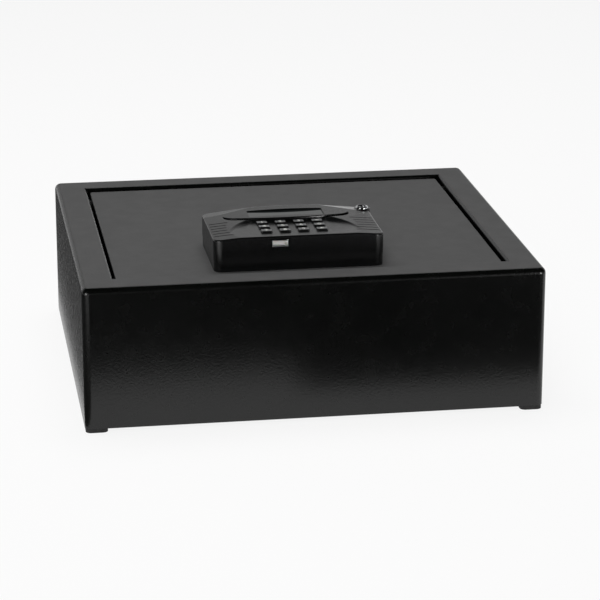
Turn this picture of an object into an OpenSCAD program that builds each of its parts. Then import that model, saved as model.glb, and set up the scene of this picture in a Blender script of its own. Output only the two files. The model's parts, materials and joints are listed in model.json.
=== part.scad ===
// Laptop safe: a low steel case with a flush, rear-hinged lid and an electronic lock on the lid.
// Millimetres. Origin at the bottom centre of the case: +X right, +Y to the rear, +Z up.

/* [Case] */
// Outside width of the case
case_w = 420; // [380:1:480]
// Outside depth of the case, front to rear
case_d = 370; // [350:1:430]
// Height from the ground to the top of the case
case_h = 135; // [120:1:200]
// Thickness of the folded sheet steel
sheet_t = 2; // [1.5:0.1:2.4]
// Radius of the upright corners
corner_r = 6.5; // [6.5:0.5:12]
// Radius of the bend between the walls and the top frame
top_bend_r = 5.4; // [3:0.1:6]
// Width of the flat frame round the lid
frame_w = 30; // [24:1:32]
// Radius of the bend at the frame's inner edge
lip_bend_r = 3; // [2.6:0.1:4]
// Height of the feet below the walls
foot_h = 4; // [2:0.5:10]
// Side of a square foot
foot_w = 20; // [16:1:30]
// Corner radius of a foot
foot_r = 5; // [2:0.5:7]
// How far the feet stand back from the walls
foot_inset = 0.8; // [0.4:0.1:5]
// Thickness of the floor mat
mat_t = 3; // [2:0.5:8]
// Radius of an anchor hole
anchor_r = 5; // [3:0.5:8]
// Distance between the anchor holes, side to side
anchor_span_x = 300; // [200:5:340]
// Distance between the anchor holes, front to rear
anchor_span_y = 250; // [150:5:290]

/* [Lid] */
// Gap between the lid and the frame
lid_gap = 3; // [2.8:0.1:4.5]
// How far the lid's face lies below the top of the frame
lid_drop = 3; // [2:0.5:10]
// Thickness of the lid's face
lid_t = 3; // [2:0.5:5]
// Thickness of the lid's turned-down edges
flange_t = 2; // [1.5:0.1:3]
// Depth of the lid with its edges
lid_depth = 24; // [24:0.5:34]
// Thickness of the cover plate inside the lid
inner_cover_t = 1.6; // [1:0.1:2.5]
// Distance from the lid's rear edge to the hinge line
pivot_back = 25; // [22:1:40]
// Distance from the lid's face down to the hinge line
pivot_down = 9; // [9:0.1:10]
// Radius of a hinge pin
hinge_pin_r = 3.5; // [2.5:0.1:3.8]
// Wall of a hinge bush
bush_wall = 1.4; // [1:0.1:1.5]
// Distance from the hinge line to a stop pin
stop_reach = 11; // [10.6:0.1:11.4]
// Radius of a stop pin
stop_pin_r = 2; // [1.5:0.1:2.2]
// Angle that the lid opens
lid_swing = 98; // [80:1:100]
// Thickness of a rubber rest under the lid
rest_t = 4; // [2:0.5:8]

/* [Bolts] */
// Radius of a locking bolt
bolt_r = 6; // [4:0.1:6.2]
// Distance between the two locking bolts
bolt_span = 180; // [170:1:230]
// Travel of the locking bolts
bolt_travel = 12; // [8:0.5:12]
// Distance from the lid's face down to the bolt axis
bolt_down = 13; // [12.5:0.1:13.5]
// Module of the rack and the pinion
gear_module = 1; // [1:0.01:1.04]
// Width of the rack and the pinion
rack_w = 6; // [4:0.5:8]
// Radius of the motor's output shaft
shaft_r = 1.5; // [1:0.1:2]
// Radius of the drive motor
motor_r = 6; // [5:0.1:6.2]
// Length of the drive motor
motor_len = 15; // [12:1:25]

/* [Batteries] */
// Radius of a cell
cell_r = 7.25; // [6:0.05:7.3]
// Length of a cell
cell_len = 50.5; // [44:0.5:52]
// Number of cells side by side
cell_count = 4; // [2:1:5]
// How far the battery hatch slides
hatch_travel = 45; // [20:1:50]

/* [Lock housing] */
// Width of the lock housing
lock_w = 156; // [152:1:170]
// Depth of the lock housing
lock_d = 98; // [98:1:108]
// Middle of the lock housing, left of the lid's middle
lock_left = 9.5; // [0:0.5:20]
// Distance from the front of the lid to the lock housing
lock_front = 9; // [4:0.5:20]
// Radius of the housing's upright corners
lock_r = 8; // [5:0.5:10]
// Height of the lower half of the housing
base_h = 10; // [8:0.1:16]
// Height of the housing at the middle of its arched top
crown_h = 33.5; // [30:0.5:42]
// How far the arched top falls towards its sides
arch_drop = 4; // [2:0.1:5]
// Wall of the housing
lock_wall = 2.5; // [2:0.1:3]
// Radius of the boss round the emergency key cylinder
boss_r = 7.5; // [7.2:0.1:9]
// How far the boss stands out of the housing's right side
boss_proud = 2; // [1:0.5:5]
// Distance from the housing's rear to the middle of the boss
boss_ahead = 10.5; // [10:0.5:16]

/* [Display] */
// Width of the display window
window_w = 70; // [50:1:74]
// Depth of the display window
window_d = 21.5; // [14:0.5:22]
// Distance from the housing's rear to the middle of the window
window_ahead = 23.5; // [23:0.5:26]
// Thickness of the window pane
pane_t = 2; // [1:0.1:2.5]
// Depth of the pane below the middle of the arched top
pane_down = 1.7; // [1.5:0.1:4.5]
// Border that holds the pane
pane_rim = 1.2; // [1:0.1:2]

/* [Keypad] */
// How far the display and the keypad stand left of the housing's middle
face_left = 2; // [0:0.5:4]
// Distance between the columns of keys
key_pitch_x = 17; // [14:0.1:18]
// Distance between the rows of keys
key_pitch_y = 15.75; // [11:0.05:15.75]
// Width of a key
key_w = 10; // [7:0.1:11]
// Depth of a key
key_d = 7.2; // [5:0.1:7.4]
// Height of a key above the basin
key_proud = 1.8; // [1.5:0.1:4]
// Travel of a key
key_travel = 1.2; // [0.5:0.1:1.3]
// Distance from the housing's front to the front row of keys
key_front = 18.5; // [18.5:0.1:19]
// Radius of the basin's rear edge
basin_r = 61.5; // [58:0.5:64]
// Distance from the housing's front to the centre of the basin's edge
basin_ahead = 8; // [4:0.5:10]
// Depth of the basin at its rear
basin_rear_down = 4.5; // [3:0.1:5.5]
// Depth of the basin at the front of the housing
basin_front_down = 1.8; // [1.2:0.1:3]
// Radius of the curved edge of the display's hood
hood_r = 140; // [100:5:200]
// Distance from the housing's front to the middle of the hood's edge
hood_front = 56; // [56:0.5:58]
// Half the length of the hood's edge
hood_half = 59; // [50:1:64]
// Number of grooves on each side of the keypad
groove_count = 6; // [0:1:6]
// Distance between the grooves
groove_pitch = 8; // [5:0.5:9]
// Width of a groove
groove_w = 1.6; // [0.5:0.1:2]
// Depth of a groove
groove_deep = 0.9; // [0.3:0.1:1.2]

/* [Emergency key] */
// Radius of the cylinder's barrel
barrel_r = 5.6; // [5.2:0.1:6.2]
// Radius of the turning plug
plug_r = 4; // [3:0.1:4.1]
// Height of the chrome rim above the boss
rim_proud = 2; // [0.5:0.1:2.5]
// Length of the cam from the plug's axis
cam_reach = 28; // [15:1:30]

/* [Service port] */
// Width of the port's metal shell
port_w = 15; // [10:0.5:16]
// Height of the port's metal shell
port_h = 6.5; // [5:0.1:7]
// Distance of the port from the housing's middle, to the left
port_left = 17.5; // [5:0.5:30]

/* [Clearances] */
// Radial clearance of a part that turns in a hole
run_gap = 0.06; // [0.03:0.01:0.1]
// Radial clearance of a loose or fixed pin in its hole
fit_gap = 0.05; // [0.02:0.01:0.1]
// Clearance round a part that slides past another
slide_gap = 0.4; // [0.2:0.05:0.5]
// Clearance between resting parts
rest_gap = 0.3; // [0.1:0.05:0.5]

/* [Hidden] */
$fn = 48;
// Smooth enough for the very large radius of the arched top
arch_fn = 720;
hood_fn = 180;
// Overlap that lets one cut run through a face
over = 1;
// Longer than any cut needs to be
far = case_w + case_d;

powder_black = [0.05, 0.05, 0.05];
abs_black = [0.08, 0.08, 0.085];
steel_grey = [0.62, 0.63, 0.65];
dark_steel = [0.3, 0.3, 0.32];
chrome = [0.85, 0.86, 0.88];
brass = [0.78, 0.62, 0.3];
nylon_white = [0.88, 0.87, 0.82];
nylon_black = [0.07, 0.07, 0.07];
rubber_black = [0.06, 0.06, 0.06];
felt_grey = [0.2, 0.2, 0.21];
board_green = [0.05, 0.28, 0.16];
key_grey = [0.45, 0.45, 0.46];

// Case
inner_w = case_w - 2*sheet_t;
inner_d = case_d - 2*sheet_t;
// Straight part of the frame below its bend
frame_skirt = 1;
walls_top = case_h - top_bend_r - frame_skirt;
open_w = case_w - 2*frame_w;
open_d = case_d - 2*frame_w;
// How much higher the inner lip ends than the lid
lip_short = 1;
lip_h = lid_drop + lid_depth - lip_short;
lip_z = case_h - lip_h;
floor_top = foot_h + sheet_t;
foot_x = case_w/2 - foot_inset - foot_w/2;
foot_y = case_d/2 - foot_inset - foot_w/2;
stem_r = 3;
stem_head_r = 4.5;
stem_head_h = 1.5;
mat_edge = 1;
mat_hole = 4;
floor_corner_gap = 0.5;

// Lid
lid_z = case_h - lid_drop;
lid_w = open_w - 2*lid_gap;
lid_d = open_d - 2*lid_gap;
lid_corner_r = 2.5;
lid_edge_r = 1;
roof_z = lid_z - lid_t;
tray_z = lid_z - lid_depth;
pivot_y = lid_d/2 - pivot_back;
pivot_z = lid_z - pivot_down;
bush_r = hinge_pin_r + bush_wall;
bush_rim = 2;
bush_flange_r = bush_r + bush_rim;
bush_len = 6;
pin_head_r = 6.5;
pin_head_t = 2.5;
pin_spare = 1;
clip_t = 1.2;
clip_rim = 2.4;
pin_end_x = lid_w/2 - bush_len - 2*clip_t - pin_spare;
// Angle of the stop pins about the hinge line, from the rear towards the top
stop_start = -139;
stop_y = pivot_y + stop_reach*cos(stop_start);
stop_z = pivot_z + stop_reach*sin(stop_start);
stop_head_rim = 1.5;
stop_head_t = 1.5;
stop_spare = 2;
stop_end_x = lid_w/2 - flange_t - stop_spare;
rest_w = 10;
rest_edge = 1;
rest_corner_r = 1.5;
ledge_in = 30;
ledge_x = open_w/2 - ledge_in;
ledge_w = 16;
ledge_reach = 15;
ledge_lap = 8;
ledge_top = tray_z - inner_cover_t - rest_gap - rest_t;

// Bolts and drive
bolt_z = lid_z - bolt_down;
bolt_x = bolt_span/2;
bolt_tip_in = 0.8;
bolt_tip_y = -lid_d/2 + bolt_tip_in;
bar_back = 34;
bar_y = -lid_d/2 + bar_back;
bar_t = 5;
bar_h = 12;
bar_end = 10;
tenon_r = 4;
tenon_spare = 1.5;
guide_back = 14;
guide_y = -lid_d/2 + guide_back;
guide_t = 3;
guide_w = 24;
guide_up = 2;
guide_foot = 6;
pitch_r = 5*gear_module;
teeth = 10;
tooth_pitch = PI*gear_module;
pressure = 20;
backlash = 0.35;
addendum = 0.95*gear_module;
dedendum = 1.25*gear_module;
pinion_w = rack_w - 1;
pinion_x = (rack_w - pinion_w)/2;
pinion_back = 15;
pinion_y = bar_y + bar_t + pinion_back;
pinion_down = 17;
pinion_z = lid_z - pinion_down;
rack_back = 4.5*gear_module;
rack_top = pinion_z + pitch_r + rack_back;
rack_root = pinion_z + pitch_r + dedendum;
rack_sink = 0.05;
rack_spare = 2;
rack_first = -rack_spare;
rack_last = ceil(bolt_travel/tooth_pitch) + rack_spare;
rack_len = pinion_y - bar_y + (rack_last + 0.5)*tooth_pitch;
gearbox_x = rack_w + 1;
gearbox_len = 10;
gearbox_w = 10;
gearbox_h = 12;
shaft_spare = 0.5;
shaft_end_x = gearbox_x + gearbox_len/2 - over;
bracket_t = 1.5;
bracket_in = 1;
bracket_gap = 0.1;
bracket_drop = 4;

// Batteries
box_x = -10;
box_y = 30;
box_wall = 1.5;
box_spare = 1;
cell_gap = 0.4;
cell_pitch = 2*cell_r + cell_gap;
spring_room = 3;
box_w = cell_count*cell_pitch + 2*box_wall + box_spare;
box_d = cell_len + 2*box_wall + spring_room;
box_z = tray_z + rest_gap;
cell_z = roof_z - box_wall - rest_gap - cell_r;
cap_len = 1.5;
cap_r = 2.75;
contact_w = 9.4;
contact_t = 0.4;
spring_r = 3;
stud_r = 1.5;
hatch_edge = 2;
hatch_t = 1.5;
hatch_z = tray_z - inner_cover_t - 2*fit_gap - hatch_t;
grip_count = 5;
grip_pitch = 2.5;
grip_len = 20;
grip_w = 1;
grip_deep = 0.6;
grip_back = 5;
rail_t = 1.5;
rail_lap = 2.5;
lead_r = 1.2;
lead_down = 3;
lead_apart = 3.5;
lead_round = 6;
lead_hole_r = lead_r + 0.2;

// Inner cover
post_r = 4;
post_pilot_r = 1.6;
post_pilot_deep = 10;
cover_in = 1;
cover_screw_r = 1.5;
cover_screw_bite = 7;
cover_head_r = 2.8;
small_head_t = 1.4;
head_slot_w = 0.6;
hole_gap = 0.2;
post_in_x = 25;
post_in_y = 60;
front_post_left = 50;
front_post_back = 77;
post_places = [
    for (x = [-1, 1], y = [-1, 1]) [x*(lid_w/2 - post_in_x), y*(lid_d/2 - post_in_y)],
    [0, lid_d/2 - post_in_y], [-front_post_left, -lid_d/2 + front_post_back]
];

// Lock housing
lock_x = -lock_left;
face_x = lock_x - face_left;
lock_front_y = -lid_d/2 + lock_front;
lock_y = lock_front_y + lock_d/2;
lock_rear_y = lock_front_y + lock_d;
parting_z = lid_z + base_h;
crown_z = lid_z + crown_h;
arch_r = (pow(lock_w/2, 2) + pow(arch_drop, 2)) / (2*arch_drop);
base_step = 0.4;
tongue_t = 1.2;
tongue_h = 2;
tongue_gap = 0.2;
base_wall = lock_wall + tongue_gap + tongue_t;
boss_x = lock_x + lock_w/2 + boss_proud - boss_r;
boss_y = lock_rear_y - boss_ahead;
boss_down = 3.2;
boss_top = crown_z - boss_down;
lock_post_in = 15;
lock_post_x = lock_w/2 - lock_post_in;
lock_post_front = 15;
lock_post_rear = 18;
// The right rear post stands further forward, clear of the key cylinder
lock_post_clear = 12;
lock_post_r = 4.5;
lock_screw_r = 2;
lock_screw_bite = 7;
lock_pilot_deep = 9;
lock_head_r = 3.6;
lock_head_t = 2;
hex_r = 1.5;
cable_left = 10;
cable_back = 30;
cable_x = lock_x - cable_left;
cable_y = lock_y + cable_back;
cable_hole_r = 6;
// Height of a cut through the arched top, half of it above the crown
cut_h = 24;

// Facets at the rear corners of the arched top
facet_start = 30;
facet_turn = 26;
facet_fall = 3.2;
facet_tilt = 7.5;

// Display and keypad
key_cols = 4;
key_rows = 3;
board_t = 1.6;
board_up = 11.5;
board_top = parting_z + board_up;
board_side = 3.5;
board_front = 9;
board_rear = 10;
board_left = 2;
board_w = 2*(lock_post_x - lock_post_r - board_side);
board_d = lock_d - board_front - board_rear;
board_x = lock_x - board_left;
board_y = lock_front_y + board_front + board_d/2;
board_post_in = 4;
board_post_r = 3.2;
board_pilot_r = 1.1;
board_pilot_deep = 8;
board_hole_r = 1.4;
board_screw_r = 1;
board_screw_bite = 5;
board_head_r = 2.2;
// Chips under the board: place from its middle, then width, depth and height
chips = [[34, -12, 12, 12, 2], [-30, 6, 8, 18, 3]];
buzzer_r = 4.5;
buzzer_h = 4;
buzzer_hole_r = 1;
buzzer_in = 10;
buzzer_front = 35;
window_y = lock_rear_y - window_ahead;
pane_top = crown_z - pane_down;
pane_gap = 0.4;
pane_corner_r = 1;
pane_w = window_w + 2*pane_rim - 2*pane_gap;
pane_d = window_d + 2*pane_rim - 2*pane_gap;
display_in = 0.2;
collar_wall = 1.2;
collar_w = window_w + 2*pane_rim + 2*collar_wall;
collar_d = window_d + 2*pane_rim + 2*collar_wall;
basin_y = lock_front_y + basin_ahead;
basin_rear_y = basin_y + basin_r;
basin_slope = atan((basin_rear_down - basin_front_down)/(basin_rear_y - lock_front_y));
hood_y = lock_front_y + hood_front + hood_r;
hood_line_w = 1.4;
hood_line_deep = 1.5;
key_gap = 0.4;
key_flange = 1.1;
key_flange_t = 1;
key_flange_gap = 0.2;
key_corner_r = 0.9;
mat_sheet_t = 1;
mat_margin = 1.5;
dome_r = 3;
groove_first = 54;
groove_ring_r = 60;
groove_ring_ahead = 35;

// Emergency key cylinder
rim_top = boss_top + rim_proud;
plug_sunk = 1;
rim_over = 0.3;
rim_r = barrel_r + rim_over;
barrel_bore = 2*fit_gap;
keyway_w = 1.4;
keyway_d = 5.6;
keyway_deep = 8;
tail_w = 5;
tail_gap = 0.05;
tail_spare = 0.5;
cam_down = 11.5;
cam_z = roof_z - cam_down;
cam_t = 2;
cam_w = 8;
cam_hub_r = 6;
cam_head_r = 4;
cam_head_t = 2;
plug_z = cam_z + cam_t + tail_spare;
barrel_z = plug_z + over;
nut_r = 9.8;
nut_t = 3;

// Service port
port_x = lock_x - port_left;
port_wall = 0.5;
port_len = 12;
port_sunk = 0.8;
port_surround = 1.2;
port_gap = 0.2;
port_plate_t = 2.6;
port_plate_in = 1.5;
port_plate_back = 1;
port_block_in = 1;
port_block = 3;

// Rectangle with round corners, centred
module round_rect(w, d, r) {
    square([w - 2*r, d], center = true);
    square([w, d - 2*r], center = true);
    for (x = [-1, 1], y = [-1, 1])
        translate([x*(w/2 - r), y*(d/2 - r)]) circle(r);
}

module round_plate(w, d, h, r) {
    linear_extrude(h) round_rect(w, d, r);
}

// Part of a disc above the line y = 0 and to the right of a distance
module disc_part(r, from) {
    intersection() {
        circle(r);
        translate([from, 0]) square([r - from, r]);
    }
}

// Upright section whose two top corners are round
module edge_section(w, h, e) {
    translate([-w/2, 0]) square([w, h - e]);
    translate([-w/2 + e, 0]) square([w - 2*e, h]);
    for (x = [-1, 1])
        translate([x*(w/2 - e), h - e]) disc_part(e, -e);
}

// Block with round upright corners r and a round top edge e, standing on z = 0
module soft_block(w, d, h, r, e) {
    translate([0, d/2 - r, 0]) rotate([90, 0, 0]) linear_extrude(d - 2*r) edge_section(w, h, e);
    translate([-w/2 + r, 0, 0]) rotate([90, 0, 90]) linear_extrude(w - 2*r) edge_section(d, h, e);
    for (x = [-1, 1], y = [-1, 1])
        translate([x*(w/2 - r), y*(d/2 - r), 0]) rotate_extrude() {
            square([r, h - e]);
            square([r - e, h]);
            translate([r - e, h - e]) disc_part(e, 0);
        }
}

module centred_box(w, d, h) {
    translate([-w/2, -d/2, 0]) cube([w, d, h]);
}

// Cylinder along +X from the origin
module rod_x(r, len) {
    rotate([0, 90, 0]) cylinder(r = r, h = len);
}

// Cylinder along +Y from the origin
module rod_y(r, len) {
    rotate([-90, 0, 0]) cylinder(r = r, h = len);
}

// The same shape at the right and, turned round, at the left
module both_sides() {
    children();
    mirror([1, 0, 0]) children();
}

module at_feet() {
    for (x = [-1, 1], y = [-1, 1])
        translate([x*foot_x, y*foot_y, 0]) children();
}

module at_anchors() {
    for (x = [-1, 1], y = [-1, 1])
        translate([x*anchor_span_x/2, y*anchor_span_y/2, 0]) children();
}

module case_walls() color(powder_black) {
    translate([0, 0, foot_h]) difference() {
        round_plate(case_w, case_d, walls_top - foot_h, corner_r);
        translate([0, 0, -over])
            round_plate(inner_w, inner_d, walls_top - foot_h + 2*over, corner_r - sheet_t);
    }
}

// Section of the frame's opening, flared at the top by the bend
module opening_section(w) {
    translate([-w/2, case_h - far]) square([w, far + over]);
    difference() {
        translate([-w/2 - lip_bend_r, case_h - lip_bend_r])
            square([w + 2*lip_bend_r, lip_bend_r + over]);
        for (x = [-1, 1])
            translate([x*(w/2 + lip_bend_r), case_h - lip_bend_r]) circle(lip_bend_r);
    }
}

module opening_cut() {
    intersection() {
        translate([0, far/2, 0]) rotate([90, 0, 0]) linear_extrude(far) opening_section(open_w);
        translate([-far/2, 0, 0]) rotate([90, 0, 90]) linear_extrude(far) opening_section(open_d);
    }
}

module top_frame() color(powder_black) difference() {
    union() {
        difference() {
            translate([0, 0, walls_top])
                soft_block(case_w, case_d, case_h - walls_top, corner_r, top_bend_r);
            translate([0, 0, walls_top - over])
                soft_block(inner_w, inner_d, case_h - sheet_t - walls_top + over,
                    corner_r - sheet_t, top_bend_r - sheet_t);
        }
        translate([0, 0, case_h - lip_h])
            centred_box(open_w + 2*sheet_t, open_d + 2*sheet_t, lip_h - sheet_t/2);
    }
    opening_cut();
    for (x = [-1, 1])
        translate([x*bolt_x, -open_d/2 - sheet_t - over, bolt_z])
            rod_y(bolt_r + 2*slide_gap, sheet_t + 2*over);
    both_sides() {
        translate([open_w/2 - over, pivot_y, pivot_z])
            rod_x(hinge_pin_r + fit_gap, sheet_t + 2*over);
        translate([open_w/2 - over, stop_y, stop_z])
            rod_x(stop_pin_r + fit_gap, sheet_t + 2*over);
    }
}

module floor_plate() color(powder_black) difference() {
    translate([0, 0, foot_h]) round_plate(inner_w, inner_d, sheet_t, corner_r - sheet_t + floor_corner_gap);
    translate([0, 0, foot_h - over]) {
        at_anchors() cylinder(r = anchor_r, h = sheet_t + 2*over);
        at_feet() cylinder(r = stem_r + fit_gap, h = sheet_t + 2*over);
    }
}

// Moulded foot with a stem that snaps through the floor plate
module corner_feet() color(rubber_black) at_feet() {
    round_plate(foot_w, foot_w, foot_h, foot_r);
    translate([0, 0, foot_h - over]) cylinder(r = stem_r, h = over + sheet_t + stem_head_h/2);
    translate([0, 0, floor_top]) cylinder(r = stem_head_r, h = stem_head_h);
}

module floor_mat() color(felt_grey) difference() {
    translate([0, 0, floor_top])
        round_plate(inner_w - 2*mat_edge, inner_d - 2*mat_edge, mat_t, corner_r - sheet_t);
    translate([0, 0, floor_top - over]) {
        at_anchors() cylinder(r = anchor_r + mat_hole, h = mat_t + 2*over);
        at_feet() cylinder(r = stem_head_r + over, h = mat_t + 2*over);
    }
}

module hinge_pins() color(dark_steel) both_sides()
    translate([0, pivot_y, pivot_z]) {
        translate([open_w/2 + sheet_t, 0, 0]) rod_x(pin_head_r, pin_head_t);
        translate([pin_end_x, 0, 0])
            rod_x(hinge_pin_r, open_w/2 + sheet_t + pin_head_t/2 - pin_end_x);
    }

// Ring that keeps the lid's bush on its pin
module hinge_clips() color(dark_steel) both_sides()
    translate([lid_w/2 - bush_len - clip_t - slide_gap, pivot_y, pivot_z]) difference() {
        rod_x(hinge_pin_r + clip_rim, clip_t);
        translate([-over, 0, 0]) rod_x(hinge_pin_r + fit_gap, clip_t + 2*over);
    }

module stop_pins() color(dark_steel) both_sides()
    translate([0, stop_y, stop_z]) {
        translate([open_w/2 + sheet_t, 0, 0]) rod_x(stop_pin_r + stop_head_rim, stop_head_t);
        translate([stop_end_x, 0, 0])
            rod_x(stop_pin_r, open_w/2 + sheet_t + stop_head_t/2 - stop_end_x);
    }

// Step welded behind the front lip, which carries the closed lid
module lid_ledges() color(powder_black) both_sides()
    translate([ledge_x - ledge_w/2, -open_d/2 - 2*sheet_t, ledge_top - sheet_t]) {
        cube([ledge_w, sheet_t, lip_z + ledge_lap - ledge_top + sheet_t]);
        cube([ledge_w, ledge_reach + 2*sheet_t, sheet_t]);
    }

module ledge_rests() color(rubber_black) both_sides()
    translate([ledge_x, -open_d/2 + ledge_reach - rest_edge - rest_w/2, ledge_top])
        round_plate(rest_w, rest_w, rest_t, rest_corner_r);

// Curved slot of the stop pin in the lid's side
module stop_slot() {
    slot_half = stop_pin_r + slide_gap;
    translate([lid_w/2 - flange_t - over, pivot_y, pivot_z]) rotate([90, 0, 90]) {
        rotate([0, 0, stop_start]) rotate_extrude(angle = lid_swing)
            translate([stop_reach - slot_half, 0]) square([2*slot_half, flange_t + 2*over]);
        for (a = [0, lid_swing])
            rotate([0, 0, stop_start + a]) translate([stop_reach, 0, 0])
                cylinder(r = slot_half, h = flange_t + 2*over);
    }
}

module at_lock_posts() {
    for (x = [-1, 1]) {
        rear = lock_post_rear + (x > 0 ? lock_post_clear : 0);
        translate([lock_x + x*lock_post_x, lock_front_y + lock_post_front, 0]) children();
        translate([lock_x + x*lock_post_x, lock_rear_y - rear, 0]) children();
    }
}

module lid_panel() color(powder_black) difference() {
    translate([0, 0, tray_z]) soft_block(lid_w, lid_d, lid_depth, lid_corner_r, lid_edge_r);
    translate([0, 0, tray_z - over])
        centred_box(lid_w - 2*flange_t, lid_d - 2*flange_t, lid_depth - lid_t + over);
    for (x = [-1, 1])
        translate([x*bolt_x, -lid_d/2 - over, bolt_z])
            rod_y(bolt_r + slide_gap, flange_t + 2*over);
    both_sides() {
        translate([lid_w/2 - flange_t - over, pivot_y, pivot_z])
            rod_x(bush_r + fit_gap, flange_t + 2*over);
        stop_slot();
    }
    translate([boss_x, boss_y, roof_z - over])
        cylinder(r = barrel_r + barrel_bore, h = lid_t + 2*over);
    translate([cable_x, cable_y, roof_z - over]) cylinder(r = cable_hole_r, h = lid_t + 2*over);
    at_lock_posts()
        translate([0, 0, roof_z - over]) cylinder(r = lock_screw_r + slide_gap, h = lid_t + 2*over);
}

module hinge_bushes() color(nylon_black) both_sides()
    translate([0, pivot_y, pivot_z]) difference() {
        union() {
            translate([lid_w/2 - bush_len, 0, 0]) rod_x(bush_r, bush_len + over);
            translate([lid_w/2, 0, 0]) rod_x(bush_flange_r, lid_gap - slide_gap);
        }
        translate([lid_w/2 - bush_len - over, 0, 0])
            rod_x(hinge_pin_r + run_gap, bush_len + lid_gap + 2*over);
    }

// Hanger that guides one bolt behind the lid's front edge
module bolt_guides() color(steel_grey) both_sides()
    translate([bolt_x, guide_y, 0]) difference() {
        union() {
            translate([-guide_w/2, 0, tray_z + guide_up])
                cube([guide_w, guide_t, roof_z - tray_z - guide_up]);
            translate([-guide_w/2, -guide_foot, roof_z - guide_t/2])
                cube([guide_w, guide_foot + guide_t, guide_t/2]);
        }
        translate([0, -over, bolt_z]) rod_y(bolt_r + slide_gap, guide_t + 2*over);
    }

module gearmotor() color(dark_steel) translate([0, pinion_y, pinion_z]) difference() {
    union() {
        translate([gearbox_x, -gearbox_w/2, -gearbox_h/2]) cube([gearbox_len, gearbox_w, gearbox_h]);
        translate([gearbox_x + gearbox_len - over, 0, 0]) rod_x(motor_r, motor_len + over);
    }
    translate([gearbox_x - over, 0, 0]) rod_x(shaft_r + run_gap, gearbox_len/2 + over);
}

// Folded saddle that hangs the gearbox under the lid
module motor_bracket() color(steel_grey) translate([gearbox_x + bracket_in, pinion_y, 0]) {
    saddle_w = gearbox_w + 2*bracket_t + 2*bracket_gap;
    saddle_len = gearbox_len - 2*bracket_in;
    saddle_h = roof_z - pinion_z + bracket_drop;
    translate([0, -saddle_w/2, roof_z - bracket_t]) cube([saddle_len, saddle_w, bracket_t]);
    for (y = [-saddle_w/2, saddle_w/2 - bracket_t])
        translate([0, y, pinion_z - bracket_drop]) cube([saddle_len, bracket_t, saddle_h]);
    translate([0, -saddle_w/2, pinion_z + gearbox_h/2]) cube([saddle_len, saddle_w, bracket_t]);
}

module battery_box() color(abs_black) difference() {
    translate([box_x, box_y, box_z]) centred_box(box_w, box_d, roof_z - box_z);
    translate([box_x, box_y, box_z - over])
        centred_box(box_w - 2*box_wall, box_d - 2*box_wall, roof_z - box_z - box_wall + over);
    translate([cable_x, box_y - box_d/2 - over, roof_z - lead_down])
        rod_y(lead_hole_r, box_wall + 2*over);
}

// One child at each cell, turned end for end in every other place
module at_cells() {
    for (i = [0 : cell_count - 1])
        translate([box_x + (i - (cell_count - 1)/2)*cell_pitch, box_y, cell_z])
            rotate([0, 0, 180*(i % 2)]) children();
}

module batteries() color("goldenrod") at_cells() {
    translate([0, -cell_len/2, 0]) rod_y(cell_r, cell_len - cap_len);
    translate([0, cell_len/2 - cap_len - over, 0]) rod_y(cap_r, cap_len + over);
}

// Plates and springs that touch the ends of the cells
module battery_contacts() color(steel_grey) at_cells() {
    inner = box_d/2 - box_wall;
    for (end = [-1, 1])
        translate([-contact_w/2, end*(inner - contact_t/2) - contact_t/2, -contact_w/2])
            cube([contact_w, contact_t, contact_w]);
    translate([0, cell_len/2, 0]) rod_y(stud_r, inner - cell_len/2);
    translate([0, -inner, 0]) rod_y(spring_r, inner - cell_len/2);
}

module cover_posts() color(steel_grey) for (p = post_places)
    translate([p[0], p[1], tray_z]) difference() {
        cylinder(r = post_r, h = roof_z - tray_z);
        translate([0, 0, -over]) cylinder(r = post_pilot_r, h = over + post_pilot_deep);
    }

module inner_cover() color(powder_black) difference() {
    translate([0, 0, tray_z - inner_cover_t])
        round_plate(lid_w - 2*cover_in, lid_d - 2*cover_in, inner_cover_t, lid_corner_r);
    translate([box_x, box_y, tray_z - inner_cover_t - over])
        centred_box(box_w - 2*box_wall, box_d - 2*box_wall, inner_cover_t + 2*over);
    for (p = post_places)
        translate([p[0], p[1], tray_z - inner_cover_t - over])
            cylinder(r = cover_screw_r + hole_gap, h = inner_cover_t + 2*over);
}

// Screw head below z = 0 with a slot across its lower face
module slotted_head(r, h) translate([0, 0, -h]) difference() {
    cylinder(r = r, h = h);
    translate([-r - over, -head_slot_w/2, -over]) cube([2*(r + over), head_slot_w, over + h/2]);
}

module cover_screws() color(steel_grey) for (p = post_places)
    translate([p[0], p[1], tray_z - inner_cover_t]) {
        cylinder(r = cover_screw_r, h = inner_cover_t + cover_screw_bite);
        slotted_head(cover_head_r, small_head_t);
    }

// Pair of angle rails under the inner cover, which carry the sliding hatch
module hatch_rails() color(powder_black) for (x = [-1, 1])
    translate([box_x + x*(box_w/2 + hatch_edge + slide_gap + rail_t/2), box_y - hatch_travel/2, 0]) {
        rail_h = tray_z - inner_cover_t - hatch_z + slide_gap + rail_t;
        rail_len = box_d + hatch_travel;
        translate([0, 0, hatch_z - slide_gap - rail_t]) centred_box(rail_t, rail_len, rail_h);
        translate([-x*rail_lap/2, 0, hatch_z - slide_gap - rail_t])
            centred_box(rail_t + rail_lap, rail_len, rail_t);
    }

// Straight run of cable between two points
module lead(a, b, r) {
    d = b - a;
    translate(a) rotate([0, acos(d[2]/norm(d)), atan2(d[1], d[0])])
        cylinder(r = r, h = norm(d), $fn = 16);
}

// Cable through a list of points, round at the bends and flat at both ends
module lead_run(points, r) {
    for (i = [1 : len(points) - 1])
        lead(points[i - 1], points[i], r);
    for (i = [1 : 1 : len(points) - 2])
        translate(points[i]) sphere(r = r, $fn = 16);
}

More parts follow.
